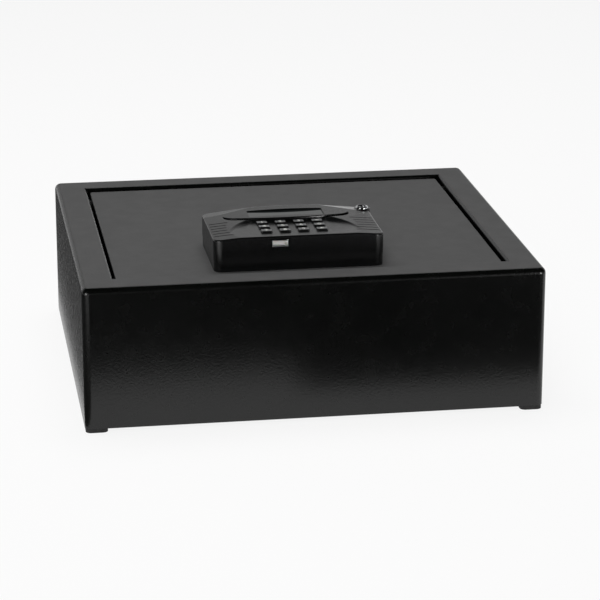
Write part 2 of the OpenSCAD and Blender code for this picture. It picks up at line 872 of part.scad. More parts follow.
// Battery lead and motor lead, from the control board through the hole in the lid
module wiring_loom() color("firebrick") {
    lead_z = roof_z - lead_down;
    board_z = board_top - board_t;
    motor_end = gearbox_x + gearbox_len + motor_len;
    lead_run([
        [cable_x, cable_y, board_z], [cable_x, cable_y, lead_z],
        [cable_x, box_y - box_d/2 + box_wall, lead_z]
    ], lead_r);
    lead_run([
        [cable_x + lead_apart, cable_y, board_z], [cable_x + lead_apart, cable_y, lead_z],
        [motor_end + lead_round, cable_y, lead_z], [motor_end + lead_round, pinion_y, lead_z],
        [motor_end + lead_round, pinion_y, pinion_z], [motor_end, pinion_y, pinion_z]
    ], lead_r);
}

// Outline of the lock housing with the key cylinder's boss, drawn in by a distance
module lock_outline(inset) {
    translate([lock_x, lock_y]) round_rect(lock_w - 2*inset, lock_d - 2*inset, lock_r - inset);
    translate([boss_x, boss_y]) circle(boss_r - inset);
}

module at_board_posts() {
    for (x = [-1, 1], y = [-1, 1])
        translate([board_x + x*(board_w/2 - board_post_in), board_y + y*(board_d/2 - board_post_in), 0])
            children();
}

module lock_base() color(abs_black) difference() {
    union() {
        translate([0, 0, lid_z]) linear_extrude(lock_wall) lock_outline(base_step);
        translate([0, 0, lid_z]) linear_extrude(base_h) difference() {
            lock_outline(base_step);
            translate([lock_x, lock_y])
                round_rect(lock_w - 2*base_wall, lock_d - 2*base_wall, lock_r - base_wall);
        }
        translate([0, 0, lid_z]) linear_extrude(base_h + tongue_h) difference() {
            translate([lock_x, lock_y])
                round_rect(lock_w - 2*(lock_wall + tongue_gap), lock_d - 2*(lock_wall + tongue_gap),
                    lock_r - lock_wall - tongue_gap);
            translate([lock_x, lock_y])
                round_rect(lock_w - 2*base_wall, lock_d - 2*base_wall, lock_r - base_wall);
            translate([boss_x, boss_y]) circle(boss_r + tongue_gap);
        }
        translate([boss_x, boss_y, lid_z]) cylinder(r = boss_r - base_step, h = base_h);
        at_lock_posts() translate([0, 0, lid_z]) cylinder(r = lock_post_r, h = base_h);
        at_board_posts()
            translate([0, 0, lid_z]) cylinder(r = board_post_r, h = board_top - board_t - lid_z);
    }
    translate([0, 0, lid_z - over]) {
        translate([boss_x, boss_y, 0]) cylinder(r = barrel_r + barrel_bore, h = base_h + 2*over);
        translate([cable_x, cable_y, 0]) cylinder(r = cable_hole_r, h = lock_wall + 2*over);
        at_lock_posts() cylinder(r = lock_screw_r + slide_gap, h = base_h + 2*over);
    }
    at_board_posts() translate([0, 0, board_top - board_t - board_pilot_deep])
        cylinder(r = board_pilot_r, h = board_pilot_deep + over);
}

// Everything below the arched top, lowered by a distance
module arch_space(down) {
    translate([lock_x, lock_front_y - over, crown_z - arch_r])
        rotate([-90, 0, 0]) cylinder(r = arch_r - down, h = lock_d + 2*over, $fn = arch_fn);
}

// Hollow of the basin round the keys, with a wall's distance added on every side
module basin_cut(wall) {
    difference() {
        translate([face_x, basin_y, crown_z - cut_h/2]) cylinder(r = basin_r + wall, h = cut_h);
        translate([face_x, hood_y, crown_z - cut_h/2 - over])
            cylinder(r = hood_r - wall, h = cut_h + 2*over, $fn = hood_fn);
        translate([face_x, lock_front_y, crown_z - basin_front_down - wall])
            rotate([-basin_slope, 0, 0]) translate([-far/2, -far/2, -far]) cube([far, far, far]);
    }
}

// Fine dark line along the edge of the display's hood
module hood_line() {
    intersection() {
        translate([face_x, hood_y, crown_z - far/2]) difference() {
            cylinder(r = hood_r + hood_line_w, h = far, $fn = hood_fn);
            translate([0, 0, -over]) cylinder(r = hood_r, h = far + 2*over, $fn = hood_fn);
        }
        translate([face_x - hood_half, lock_front_y, crown_z - cut_h/2])
            cube([2*hood_half, lock_d, cut_h]);
        difference() {
            arch_space(-over);
            arch_space(hood_line_deep);
        }
    }
}

module grooves() {
    groove_ring_y = lock_front_y + groove_ring_ahead;
    intersection() {
        for (i = [0 : 1 : groove_count - 1]) {
            y = lock_front_y + groove_first - i*groove_pitch;
            inner = sqrt(pow(groove_ring_r, 2) - pow(y - groove_ring_y, 2));
            for (x = [-1, 1])
                translate([face_x + (x < 0 ? -lock_w : inner), y - groove_w/2, crown_z - cut_h/2])
                    cube([lock_w - inner, groove_w, cut_h]);
        }
        difference() {
            arch_space(-over);
            arch_space(groove_deep);
        }
    }
}

module facet_cut() {
    translate([lock_x, lock_rear_y, crown_z - facet_drop()]) both_sides()
        translate([facet_start, 0, 0]) rotate([0, 0, -facet_turn]) rotate([0, facet_fall, 0])
            rotate([-facet_tilt, 0, 0]) translate([-far/2, 0, 0]) cube([far, far/2, far/4]);
}

// How far the arch has fallen where the facet starts
function facet_drop() = arch_r - sqrt(pow(arch_r, 2) - pow(facet_start, 2));

// Height of the basin's floor at a distance from the housing's front
function basin_z(ahead) = crown_z - basin_front_down - ahead*tan(basin_slope);

function key_x(col) = face_x + (col - (key_cols - 1)/2)*key_pitch_x;
function key_ahead(row) = key_front + (key_rows - 1 - row)*key_pitch_y;
function key_y(row) = lock_front_y + key_ahead(row);
function key_top(row) = basin_z(key_ahead(row)) + key_proud;
function key_foot(row) =
    basin_z(key_ahead(row) + key_d) - lock_wall - key_flange_gap - key_flange_t;

module at_keys() {
    for (col = [0 : key_cols - 1], row = [0 : key_rows - 1])
        translate([key_x(col), key_y(row), 0]) children();
}

module lock_cavity() {
    difference() {
        intersection() {
            translate([lock_x, lock_y, parting_z - over])
                round_plate(lock_w - 2*lock_wall, lock_d - 2*lock_wall, crown_h, lock_r - lock_wall);
            arch_space(lock_wall);
        }
        basin_cut(lock_wall);
    }
}

module lock_cover() color(abs_black) difference() {
    union() {
        difference() {
            intersection() {
                translate([0, 0, parting_z]) linear_extrude(crown_h) lock_outline(0);
                arch_space(0);
            }
            lock_cavity();
        }
        intersection() {
            union() {
                translate([face_x, window_y, pane_top - pane_t]) centred_box(collar_w, collar_d, crown_h);
                at_lock_posts() translate([0, 0, parting_z]) cylinder(r = lock_post_r, h = crown_h);
                translate([boss_x, boss_y, parting_z]) cylinder(r = boss_r, h = crown_h);
            }
            arch_space(lock_wall/2);
        }
    }
    translate([face_x, window_y, parting_z]) centred_box(window_w, window_d, crown_h);
    translate([face_x, window_y, pane_top - pane_t - over])
        centred_box(window_w + 2*pane_rim, window_d + 2*pane_rim, pane_t + over);
    basin_cut(0);
    hood_line();
    grooves();
    facet_cut();
    translate([boss_x, boss_y, boss_top]) cylinder(r = boss_r + over, h = crown_h);
    translate([boss_x, boss_y, parting_z - over]) cylinder(r = barrel_r + barrel_bore, h = crown_h);
    at_keys() translate([0, 0, parting_z])
        round_plate(key_w + 2*key_gap, key_d + 2*key_gap, crown_h, key_corner_r + key_gap);
    at_lock_posts() translate([0, 0, parting_z - over])
        cylinder(r = lock_screw_r + 2*fit_gap, h = over + lock_pilot_deep);
    translate([port_x - port_w/2 - port_gap, lock_front_y - over, board_top - port_gap])
        cube([port_w + 2*port_gap, lock_wall + 3*over, port_h + 2*port_gap]);
    translate([port_x - port_w/2 - port_surround, lock_front_y - over, board_top - port_surround])
        cube([port_w + 2*port_surround, port_sunk + over, port_h + 2*port_surround]);
}

module display_pane() color([0.25, 0.3, 0.27])
    translate([face_x, window_y, pane_top - pane_t])
        round_plate(pane_w, pane_d, pane_t - fit_gap, pane_corner_r);

module display_module() color([0.35, 0.4, 0.36])
    translate([face_x, window_y, board_top])
        round_plate(pane_w - 2*display_in, pane_d - 2*display_in,
            pane_top - pane_t - board_top - fit_gap, pane_corner_r);

module control_board() color(board_green) translate([0, 0, board_top - board_t]) difference() {
    union() {
        translate([board_x, board_y, 0]) centred_box(board_w, board_d, board_t);
        for (c = chips)
            translate([board_x + c[0], board_y + c[1], -c[4]]) centred_box(c[2], c[3], c[4]);
    }
    at_board_posts() translate([0, 0, -over]) cylinder(r = board_hole_r, h = board_t + 2*over);
}

module board_screws() color(steel_grey) at_board_posts()
    translate([0, 0, board_top]) {
        translate([0, 0, -board_t - board_screw_bite])
            cylinder(r = board_screw_r, h = board_t + board_screw_bite);
        mirror([0, 0, 1]) slotted_head(board_head_r, small_head_t);
    }

// Silicone sheet with one dome under each key
module keypad_mat() color([0.75, 0.75, 0.72]) {
    mat_w = (key_cols - 1)*key_pitch_x + key_w + 2*mat_margin;
    mat_d = (key_rows - 1)*key_pitch_y + key_d + 2*mat_margin;
    translate([face_x, lock_front_y + key_front + (key_rows - 1)*key_pitch_y/2, board_top])
        round_plate(mat_w, mat_d, mat_sheet_t, mat_margin);
    for (col = [0 : key_cols - 1], row = [0 : key_rows - 1])
        translate([key_x(col), key_y(row), board_top])
            cylinder(r = dome_r, h = key_foot(row) - key_travel - rest_gap - board_top);
}

module buzzer() color(abs_black)
    translate([board_x + board_w/2 - buzzer_in, lock_front_y + board_front + buzzer_front, board_top])
        difference() {
            cylinder(r = buzzer_r, h = buzzer_h);
            translate([0, 0, buzzer_h - over]) cylinder(r = buzzer_hole_r, h = 2*over);
        }

// Folded metal shell of the service port, with its flared mouth
module port_shell() color(chrome)
    translate([port_x, lock_front_y + port_sunk, board_top]) difference() {
        translate([-port_w/2, 0, 0]) cube([port_w, port_len, port_h]);
        translate([-port_w/2 + port_wall, -over, port_wall])
            cube([port_w - 2*port_wall, port_len - port_wall + over, port_h - 2*port_wall]);
    }

module port_tongue() color(nylon_white)
    translate([port_x, lock_front_y + port_sunk, board_top]) {
        translate([0, port_plate_back + (port_len - 2*port_plate_back)/2, port_h/2])
            centred_box(port_w - 2*port_plate_in, port_len - 2*port_plate_back, port_plate_t);
        translate([0, port_len - port_block + (port_block - port_wall)/2, port_wall])
            centred_box(port_w - 2*port_block_in, port_block - port_wall, port_h - 2*port_wall);
    }

module lock_screws() color(steel_grey) at_lock_posts() {
    translate([0, 0, roof_z - lock_head_t]) difference() {
        cylinder(r = lock_head_r, h = lock_head_t);
        translate([0, 0, -over]) cylinder(r = hex_r, h = over + lock_head_t/2, $fn = 6);
    }
    translate([0, 0, roof_z - over])
        cylinder(r = lock_screw_r, h = over + parting_z + lock_screw_bite - roof_z);
}

// Barrel of the emergency key cylinder, through the housing and the lid
module cylinder_barrel() color(chrome) translate([boss_x, boss_y, 0]) difference() {
    union() {
        translate([0, 0, boss_top]) cylinder(r = rim_r, h = rim_proud);
        translate([0, 0, barrel_z]) cylinder(r = barrel_r, h = boss_top + rim_proud/2 - barrel_z);
    }
    translate([0, 0, cam_z]) cylinder(r = plug_r + run_gap, h = far/2);
}

module barrel_nut() color(steel_grey) translate([boss_x, boss_y, roof_z - nut_t]) difference() {
    cylinder(r = nut_r, h = nut_t, $fn = 6);
    translate([0, 0, -over]) cylinder(r = barrel_r + fit_gap, h = nut_t + 2*over);
}

// Flat bar with the rack that drives it
module bolt_bar() color(steel_grey) {
    difference() {
        translate([-bolt_x - bar_end, bar_y, bolt_z - bar_h/2])
            cube([2*(bolt_x + bar_end), bar_t, bar_h]);
        for (x = [-1, 1])
            translate([x*bolt_x, bar_y - over, bolt_z]) rod_y(tenon_r + fit_gap, bar_t + 2*over);
    }
    translate([0, bar_y + over, rack_root]) cube([rack_w, rack_len, rack_top - rack_root]);
    tooth_root = dedendum + rack_sink;
    half_tip = tooth_pitch/4 - gear_module*tan(pressure) - backlash/2;
    half_foot = tooth_pitch/4 + tooth_root*tan(pressure) - backlash/2;
    translate([0, pinion_y, pinion_z + pitch_r]) rotate([90, 0, 90]) linear_extrude(rack_w)
        for (i = [rack_first : rack_last])
            translate([i*tooth_pitch, 0]) polygon([
                [-half_foot, tooth_root], [-half_tip, -gear_module],
                [half_tip, -gear_module], [half_foot, tooth_root]
            ]);
}

module locking_bolts() color(chrome) for (x = [-1, 1])
    translate([x*bolt_x, bolt_tip_y, bolt_z]) {
        rod_y(bolt_r, bar_y - bolt_tip_y);
        translate([0, bar_y - bolt_tip_y - over, 0]) rod_y(tenon_r, over + bar_t + tenon_spare);
    }

// Involute of an angle, in degrees
function inv_deg(a) = tan(a)*180/PI - a;

// Half of a pinion tooth's thickness, as an angle, at a radius
function tooth_half(r) =
    90/teeth - backlash/(4*pitch_r)*180/PI
    + inv_deg(pressure) - inv_deg(acos(min(1, pitch_r*cos(pressure)/r)));

// Point of a tooth's flank at a radius, on the side -1 or 1
function flank_point(r, side) = [r*cos(tooth_half(r)), side*r*sin(tooth_half(r))];

module pinion_tooth(root_r) {
    base_r = pitch_r*cos(pressure);
    outer_r = pitch_r + addendum;
    radii = [for (k = [0 : 4]) base_r + (outer_r - base_r)*k/4];
    half_root = root_r*sin(tooth_half(base_r));
    polygon(concat(
        [[root_r/2, -half_root]],
        [for (k = [0 : 4]) flank_point(radii[k], -1)],
        [for (k = [4 : -1 : 0]) flank_point(radii[k], 1)],
        [[root_r/2, half_root]]
    ));
}

// Brass pinion with involute teeth; a tooth gap faces straight up at rest
module drive_pinion() color(brass)
    translate([pinion_x, pinion_y, pinion_z]) rotate([90, 0, 90]) difference() {
        linear_extrude(pinion_w) {
            circle(pitch_r - dedendum);
            for (i = [0 : teeth - 1])
                rotate(90 + (i + 0.5)*360/teeth) pinion_tooth(pitch_r - dedendum);
        }
        translate([0, 0, -over]) cylinder(r = shaft_r + fit_gap/2, h = pinion_w + 2*over);
    }

module pinion_shaft() color(steel_grey)
    translate([pinion_x - shaft_spare, pinion_y, pinion_z])
        rod_x(shaft_r, shaft_end_x - pinion_x + shaft_spare);

// Turning plug with its keyway, and a square tail for the cam
module cylinder_plug() color(chrome) translate([boss_x, boss_y, 0]) difference() {
    union() {
        translate([0, 0, plug_z]) cylinder(r = plug_r, h = rim_top - plug_sunk - plug_z);
        translate([0, 0, cam_z - tail_spare])
            centred_box(tail_w, tail_w, plug_z + tail_spare - cam_z + tail_spare);
    }
    translate([0, 0, rim_top - plug_sunk - keyway_deep])
        centred_box(keyway_w, keyway_d, keyway_deep + over);
}

module key_cam() color(steel_grey) translate([boss_x, boss_y, cam_z]) difference() {
    union() {
        cylinder(r = cam_hub_r, h = cam_t);
        translate([-cam_w/2, -cam_reach, 0]) cube([cam_w, cam_reach, cam_t]);
    }
    translate([0, 0, -over])
        centred_box(tail_w + 2*tail_gap, tail_w + 2*tail_gap, cam_t + 2*over);
}

module cam_screw() color(dark_steel) translate([boss_x, boss_y, cam_z - tail_spare])
    slotted_head(cam_head_r, cam_head_t);

module battery_hatch() color(abs_black) translate([box_x, box_y, hatch_z]) difference() {
    centred_box(box_w + 2*hatch_edge, box_d, hatch_t);
    for (i = [0 : grip_count - 1])
        translate([0, box_d/2 - grip_back - i*grip_pitch, -over])
            centred_box(grip_len, grip_w, over + grip_deep);
}

// Key in its column and row, with the flange that keeps it under the cover
module keypad_key(col, row) color(key_grey) translate([key_x(col), key_y(row), 0]) {
    translate([0, 0, key_foot(row)])
        round_plate(key_w, key_d, key_top(row) - key_foot(row), key_corner_r);
    translate([0, 0, key_foot(row)])
        round_plate(key_w + 2*key_gap + key_flange, key_d + 2*key_gap + key_flange, key_flange_t,
            key_corner_r);
}

case_walls();
top_frame();
floor_plate();
corner_feet();
floor_mat();
hinge_pins();
hinge_clips();
stop_pins();
lid_ledges();
ledge_rests();
lid_panel();
hinge_bushes();
bolt_guides();
gearmotor();
motor_bracket();
battery_box();
batteries();
battery_contacts();
cover_posts();
inner_cover();
cover_screws();
hatch_rails();
wiring_loom();
lock_base();
lock_cover();
display_pane();
display_module();
control_board();
board_screws();
keypad_mat();
buzzer();
port_shell();
port_tongue();
lock_screws();
cylinder_barrel();
barrel_nut();
bolt_bar();
locking_bolts();
drive_pinion();
pinion_shaft();
cylinder_plug();
key_cam();
cam_screw();
battery_hatch();
keypad_key(0, 0);  // key_1
keypad_key(1, 0);  // key_2
keypad_key(2, 0);  // key_3
keypad_key(3, 0);  // key_star
keypad_key(0, 1);  // key_4
keypad_key(1, 1);  // key_5
keypad_key(2, 1);  // key_6
keypad_key(3, 1);  // key_0
keypad_key(0, 2);  // key_7
keypad_key(1, 2);  // key_8
keypad_key(2, 2);  // key_9
keypad_key(3, 2);  // key_hash
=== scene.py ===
import json
import math

import bmesh
import bpy
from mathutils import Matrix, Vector


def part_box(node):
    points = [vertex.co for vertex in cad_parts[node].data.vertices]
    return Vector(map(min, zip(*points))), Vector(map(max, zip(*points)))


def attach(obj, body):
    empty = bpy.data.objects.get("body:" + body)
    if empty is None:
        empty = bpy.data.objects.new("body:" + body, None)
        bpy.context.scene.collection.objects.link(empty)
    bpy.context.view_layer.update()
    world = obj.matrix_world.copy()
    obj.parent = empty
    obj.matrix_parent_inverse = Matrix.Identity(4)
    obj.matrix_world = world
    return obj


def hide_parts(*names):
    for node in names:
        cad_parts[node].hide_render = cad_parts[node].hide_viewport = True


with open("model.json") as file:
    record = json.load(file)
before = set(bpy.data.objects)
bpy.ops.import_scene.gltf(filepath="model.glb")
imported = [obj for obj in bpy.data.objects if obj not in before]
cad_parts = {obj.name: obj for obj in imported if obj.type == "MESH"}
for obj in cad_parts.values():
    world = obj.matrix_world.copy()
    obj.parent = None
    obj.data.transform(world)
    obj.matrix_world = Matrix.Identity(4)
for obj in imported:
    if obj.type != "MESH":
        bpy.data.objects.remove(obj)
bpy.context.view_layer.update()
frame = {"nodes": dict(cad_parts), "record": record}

mm = 0.001
cadNodes = frame["nodes"]
slotOfNode = {part["node"]: part["material_slot"] for part in frame["record"]["subparts"]}
print("frame loaded:", len(cadNodes), "nodes")


# Helpers for materials

def linearColour(hexText):
    # sRGB hex text to the linear values that shaders read
    parts = [int(hexText[i:i + 2], 16) / 255 for i in (1, 3, 5)]
    return tuple(c / 12.92 if c <= 0.04045 else ((c + 0.055) / 1.055) ** 2.4 for c in parts) + (1.0,)


def addNode(tree, kind, inputs=None, **settings):
    # one node with its settings; an input is a value or another node's output
    node = tree.nodes.new(kind)
    for name, value in settings.items():
        setattr(node, name, value)
    for socket, value in (inputs or {}).items():
        if isinstance(value, bpy.types.NodeSocket):
            tree.links.new(value, node.inputs[socket])
        else:
            node.inputs[socket].default_value = value
    return node


noiseSpan = (0.3, 0.7)   # where most of a noise's values lie


def makeFinish(recipe):
    # a mottled surface: grains in Object coordinates drive its colour, its roughness and its bumps
    material = bpy.data.materials.new(recipe["name"])
    material.use_nodes = True
    tree = material.node_tree
    tree.nodes.clear()
    shader = addNode(tree, "ShaderNodeBsdfPrincipled", recipe.get("shader"))
    addNode(tree, "ShaderNodeOutputMaterial", {"Surface": shader.outputs["BSDF"]})
    place = addNode(tree, "ShaderNodeTexCoord")
    grains = []
    for grain in [recipe["mottle"], recipe["wear"]] + recipe.get("bumps", []):
        spread = addNode(tree, "ShaderNodeMapping", {
            "Vector": place.outputs["Object"], "Scale": grain.get("stretch", (1, 1, 1))})
        noise = addNode(tree, "ShaderNodeTexNoise", {
            "Vector": spread.outputs["Vector"], "Scale": 1 / (grain["size"] * mm),
            "Detail": grain.get("detail", 3), "Roughness": grain.get("rough", 0.5)})
        grains.append(addNode(tree, "ShaderNodeMapRange", {
            "Value": noise.outputs["Fac"], "From Min": noiseSpan[0], "From Max": noiseSpan[1]}))
    dark, light = recipe["colours"]
    smooth, rough = recipe["roughness"]
    mix = addNode(tree, "ShaderNodeMix", {
        0: grains[0].outputs["Result"], 6: linearColour(dark), 7: linearColour(light)}, data_type="RGBA")
    gloss = addNode(tree, "ShaderNodeMapRange", {
        "Value": grains[1].outputs["Result"], "To Min": smooth, "To Max": rough})
    colour, dullness = mix.outputs[2], gloss.outputs["Result"]
    if "paintedTopLight" in recipe:
        # painted light: a paler grey where the piece faces up in its rest pose stands in for the light that
        # falls on its top, a little uneven
        paintedTopLight = recipe["paintedTopLight"]
        topToneLow, topToneHigh = paintedTopLight["colours"]
        facing = addNode(tree, "ShaderNodeSeparateXYZ", {"Vector": place.outputs["Normal"]})
        upward = addNode(tree, "ShaderNodeMapRange", {
            "Value": facing.outputs["Z"], "From Min": paintedTopLight["from"], "From Max": paintedTopLight["full"]},
            interpolation_type="SMOOTHSTEP")
        paintedTopTone = addNode(tree, "ShaderNodeMix", {
            0: grains[1].outputs["Result"], 6: linearColour(topToneLow), 7: linearColour(topToneHigh)}, data_type="RGBA")
        paintedTopColour = addNode(tree, "ShaderNodeMix", {
            0: upward.outputs["Result"], 6: colour, 7: paintedTopTone.outputs[2]}, data_type="RGBA")
        dulled = addNode(tree, "ShaderNodeMix", {
            0: upward.outputs["Result"], 2: dullness, 3: paintedTopLight["roughness"]})
        colour, dullness = paintedTopColour.outputs[2], dulled.outputs[0]
    tree.links.new(colour, shader.inputs["Base Color"])
    tree.links.new(dullness, shader.inputs["Roughness"])
    normal = None
    for bumpGrain, height in zip(recipe.get("bumps", []), grains[2:]):
        bump = addNode(tree, "ShaderNodeBump", {
            "Height": height.outputs["Result"], "Distance": bumpGrain["depth"] * mm})
        if normal is not None:
            tree.links.new(normal, bump.inputs["Normal"])
        normal = bump.outputs["Normal"]
        tree.links.new(normal, shader.inputs["Normal"])
    return material


# Materials, one recipe for each finish: sizes in millimetres, bumps from low to high point

finishRecipes = {
    "powder_coat": {   # polyester powder baked on steel: semi-gloss black, orange peel, greyed on top by painted light from above
        "name": "blackPowderCoat", "shader": {"IOR": 1.5},
        "colours": ("#050605", "#0a0b0a"), "mottle": {"size": 55},
        "roughness": (0.25, 0.28), "wear": {"size": 14, "detail": 3},
        # painted light: the paler grey on faces that look up, in place of light from above
        "paintedTopLight": {"colours": ("#4f4f4f", "#545454"), "from": 0.9, "full": 0.998, "roughness": 0.8},
        "bumps": [{"size": 2.4, "detail": 1, "depth": 0.042},
                  {"size": 1.1, "detail": 1, "depth": 0.012}]},
    "rubber": {   # moulded EPDM: matt, a little dusty
        "name": "mouldedRubber", "shader": {"IOR": 1.52},
        "colours": ("#161616", "#222120"), "mottle": {"size": 6, "detail": 5, "rough": 0.65},
        "roughness": (0.62, 0.78), "wear": {"size": 4},
        "bumps": [{"size": 0.7, "detail": 2, "depth": 0.02}]},
    "felt": {   # needled polyester: matt, fibres lying every way
        "name": "needledFelt",
        "shader": {"IOR": 1.45, "Sheen Weight": 0.35, "Sheen Roughness": 0.5},
        "colours": ("#1d1d1f", "#3a3a3d"),
        "mottle": {"size": 1.4, "detail": 6, "rough": 0.75, "stretch": (1, 3, 1)},
        "roughness": (0.9, 0.98), "wear": {"size": 3},
        "bumps": [{"size": 1.4, "detail": 6, "rough": 0.75, "stretch": (1, 3, 1), "depth": 0.35}]},
    "zinc_steel": {   # bright zinc on steel: pale, blotched where it was barrelled
        "name": "zincPlatedSteel", "shader": {"Metallic": 1.0},
        "colours": ("#aeb1b2", "#d2d4d3"), "mottle": {"size": 7, "detail": 5, "rough": 0.6},
        "roughness": (0.26, 0.42), "wear": {"size": 5, "detail": 5},
        "bumps": [{"size": 0.5, "detail": 3, "depth": 0.004}]},
    "dark_steel": {   # blackened spring steel and motor cans: dark, oily sheen
        "name": "blackenedSteel", "shader": {"Metallic": 1.0},
        "colours": ("#3a3a3d", "#57575a"), "mottle": {"size": 5, "detail": 4, "rough": 0.6},
        "roughness": (0.3, 0.5), "wear": {"size": 4, "detail": 4},
        "bumps": [{"size": 0.6, "depth": 0.004}]},
    "nylon": {   # natural nylon 6: milky, soft gloss
        "name": "naturalNylon", "shader": {"IOR": 1.53, "Subsurface Weight": 0.1, "Subsurface Scale": 0.0015},
        "colours": ("#d9d5c8", "#e6e3d9"), "mottle": {"size": 4},
        "roughness": (0.38, 0.5), "wear": {"size": 3},
        "bumps": [{"size": 1.2, "depth": 0.006}]},
    "black_nylon": {   # black nylon of the hinge bushes: dull, waxy
        "name": "blackNylon", "shader": {"IOR": 1.53},
        "colours": ("#101010", "#181818"), "mottle": {"size": 4},
        "roughness": (0.42, 0.55), "wear": {"size": 3},
        "bumps": [{"size": 1.2, "depth": 0.006}]},
    "abs_black": {   # ABS from a spark-eroded mould: satin black; its 0.1 mm grain is drawn coarser to show
        "name": "satinBlackAbs", "shader": {"IOR": 1.5},
        "colours": ("#0b0c0c", "#111212"), "mottle": {"size": 30},
        "roughness": (0.22, 0.26), "wear": {"size": 8, "detail": 4, "rough": 0.6},
        "bumps": [{"size": 0.8, "detail": 2, "depth": 0.009}]},
    "key_plastic": {   # moulded dark grey keycaps, worn smoother in places
        "name": "darkKeyPlastic", "shader": {"IOR": 1.5},
        "colours": ("#131414", "#1b1c1c"), "mottle": {"size": 5, "detail": 4, "rough": 0.6},
        "roughness": (0.18, 0.24), "wear": {"size": 3, "detail": 4},
        "bumps": [{"size": 0.5, "detail": 2, "depth": 0.008}]},
    "key_face": {   # grey lacquer on the keys' tops: satin, thinner where fingers land
        "name": "greyKeyLacquer", "shader": {"IOR": 1.5},
        "colours": ("#4c4d4e", "#5c5d5e"), "mottle": {"size": 4, "detail": 3},
        "roughness": (0.24, 0.32), "wear": {"size": 3, "detail": 4},
        "bumps": [{"size": 0.5, "detail": 2, "depth": 0.006}]},
    "key_print": {   # pad-printed pale ink of the digits
        "name": "paleKeyPrint", "shader": {"IOR": 1.48},
        "colours": ("#c4c4c0", "#dededa"), "mottle": {"size": 1.5},
        "roughness": (0.45, 0.6), "wear": {"size": 1},
        "bumps": [{"size": 0.4, "depth": 0.004}]},
    "display_pane": {   # grey acrylic, hard-coated, which mirrors more than bare acrylic: smooth, faint waves
        "name": "coatedAcrylic", "shader": {"IOR": 1.75},
        "colours": ("#171b1b", "#1e2221"), "mottle": {"size": 18},
        "roughness": (0.03, 0.06), "wear": {"size": 12},
        "bumps": [{"size": 26, "detail": 1, "depth": 0.01}]},
    "display_panel": {   # liquid-crystal panel: grey-green, very fine cells drawn coarser
        "name": "greyDisplayPanel", "shader": {"IOR": 1.5},
        "colours": ("#6d746d", "#7b8279"), "mottle": {"size": 0.8, "detail": 2},
        "roughness": (0.2, 0.3), "wear": {"size": 9}},
    "circuit_board": {   # green solder mask over woven glass epoxy
        "name": "greenSolderMask", "shader": {"IOR": 1.55},
        "colours": ("#0b3a22", "#15552f"), "mottle": {"size": 1.2, "detail": 1, "stretch": (3, 1, 1)},
        "roughness": (0.28, 0.4), "wear": {"size": 2},
        "bumps": [{"size": 1.2, "detail": 1, "stretch": (3, 1, 1), "depth": 0.01}]},
    "port_insert": {   # white acetal block inside the port: smooth, soft gloss
        "name": "whiteAcetal", "shader": {"IOR": 1.48, "Subsurface Weight": 0.1, "Subsurface Scale": 0.001},
        "colours": ("#ecece8", "#f6f6f3"), "mottle": {"size": 2},
        "roughness": (0.3, 0.4), "wear": {"size": 2},
        "bumps": [{"size": 1, "depth": 0.004}]},
    "silicone": {   # grey keypad silicone: slightly see-through, soft
        "name": "greySilicone", "shader": {"IOR": 1.41, "Subsurface Weight": 0.2, "Subsurface Scale": 0.002},
        "colours": ("#a5a49f", "#b7b6b1"), "mottle": {"size": 3},
        "roughness": (0.5, 0.65), "wear": {"size": 2},
        "bumps": [{"size": 0.8, "depth": 0.01}]},
    "chrome": {   # nickel-chrome plating: mirror, with faint polishing haze
        "name": "chromePlating", "shader": {"Metallic": 1.0},
        "colours": ("#d9dbdd", "#eef0f1"), "mottle": {"size": 2.5, "detail": 5, "rough": 0.65},
        "roughness": (0.05, 0.14), "wear": {"size": 2, "detail": 5},
        "bumps": [{"size": 3, "depth": 0.002}]},
    "brass": {   # free-cutting brass: warm, turned rings
        "name": "machinedBrass", "shader": {"Metallic": 1.0},
        "colours": ("#b08a43", "#cfab62"), "mottle": {"size": 0.9, "detail": 4, "stretch": (6, 1, 1)},
        "roughness": (0.22, 0.36), "wear": {"size": 0.9, "stretch": (6, 1, 1)},
        "bumps": [{"size": 0.5, "stretch": (6, 1, 1), "depth": 0.004}]},
    "cell_wrap": {   # shrink foil on the cells: golden, glossy
        "name": "cellFoilWrap", "shader": {"IOR": 1.5, "Metallic": 0.35},
        "colours": ("#8a6a24", "#a37f31"), "mottle": {"size": 12, "detail": 2},
        "roughness": (0.2, 0.3), "wear": {"size": 6},
        "bumps": [{"size": 5, "detail": 1, "depth": 0.01}]},
    "cable": {   # PVC jacket of the leads: red, rubbed duller in places
        "name": "redCableJacket", "shader": {"IOR": 1.52},
        "colours": ("#8a1512", "#a52320"), "mottle": {"size": 3, "detail": 4},
        "roughness": (0.38, 0.5), "wear": {"size": 2},
        "bumps": [{"size": 0.8, "depth": 0.006}]},
}
finishes = {slot: makeFinish(recipe) for slot, recipe in finishRecipes.items()}
for nodeName, cadObject in cadNodes.items():
    cadObject.data.materials.clear()
    cadObject.data.materials.append(finishes[slotOfNode[nodeName]])
print("materials set:", len(finishes))


# Helpers for pieces, which are modelled in millimetres

nearly = 0.001    # closer than this is the same place
sharpEdge = 0.5   # radians between two faces, from which their edge gets a bevel


def selectOnly(piece):
    bpy.ops.object.select_all(action="DESELECT")
    piece.select_set(True)
    bpy.context.view_layer.objects.active = piece


def settle(name):
    # gives the new primitive its name and moves its place into its mesh
    piece = bpy.context.object
    piece.name = piece.data.name = name
    selectOnly(piece)
    bpy.ops.object.transform_apply(location=True, rotation=True, scale=True)
    return piece


def addBlock(name, centre, size):
    bpy.ops.object.select_all(action="DESELECT")
    bpy.ops.mesh.primitive_cube_add(size=1, location=centre, scale=size)
    return settle(name)


def addDisc(name, centre, radius, height):
    bpy.ops.object.select_all(action="DESELECT")
    bpy.ops.mesh.primitive_cylinder_add(vertices=48, radius=radius, depth=height, location=centre)
    return settle(name)


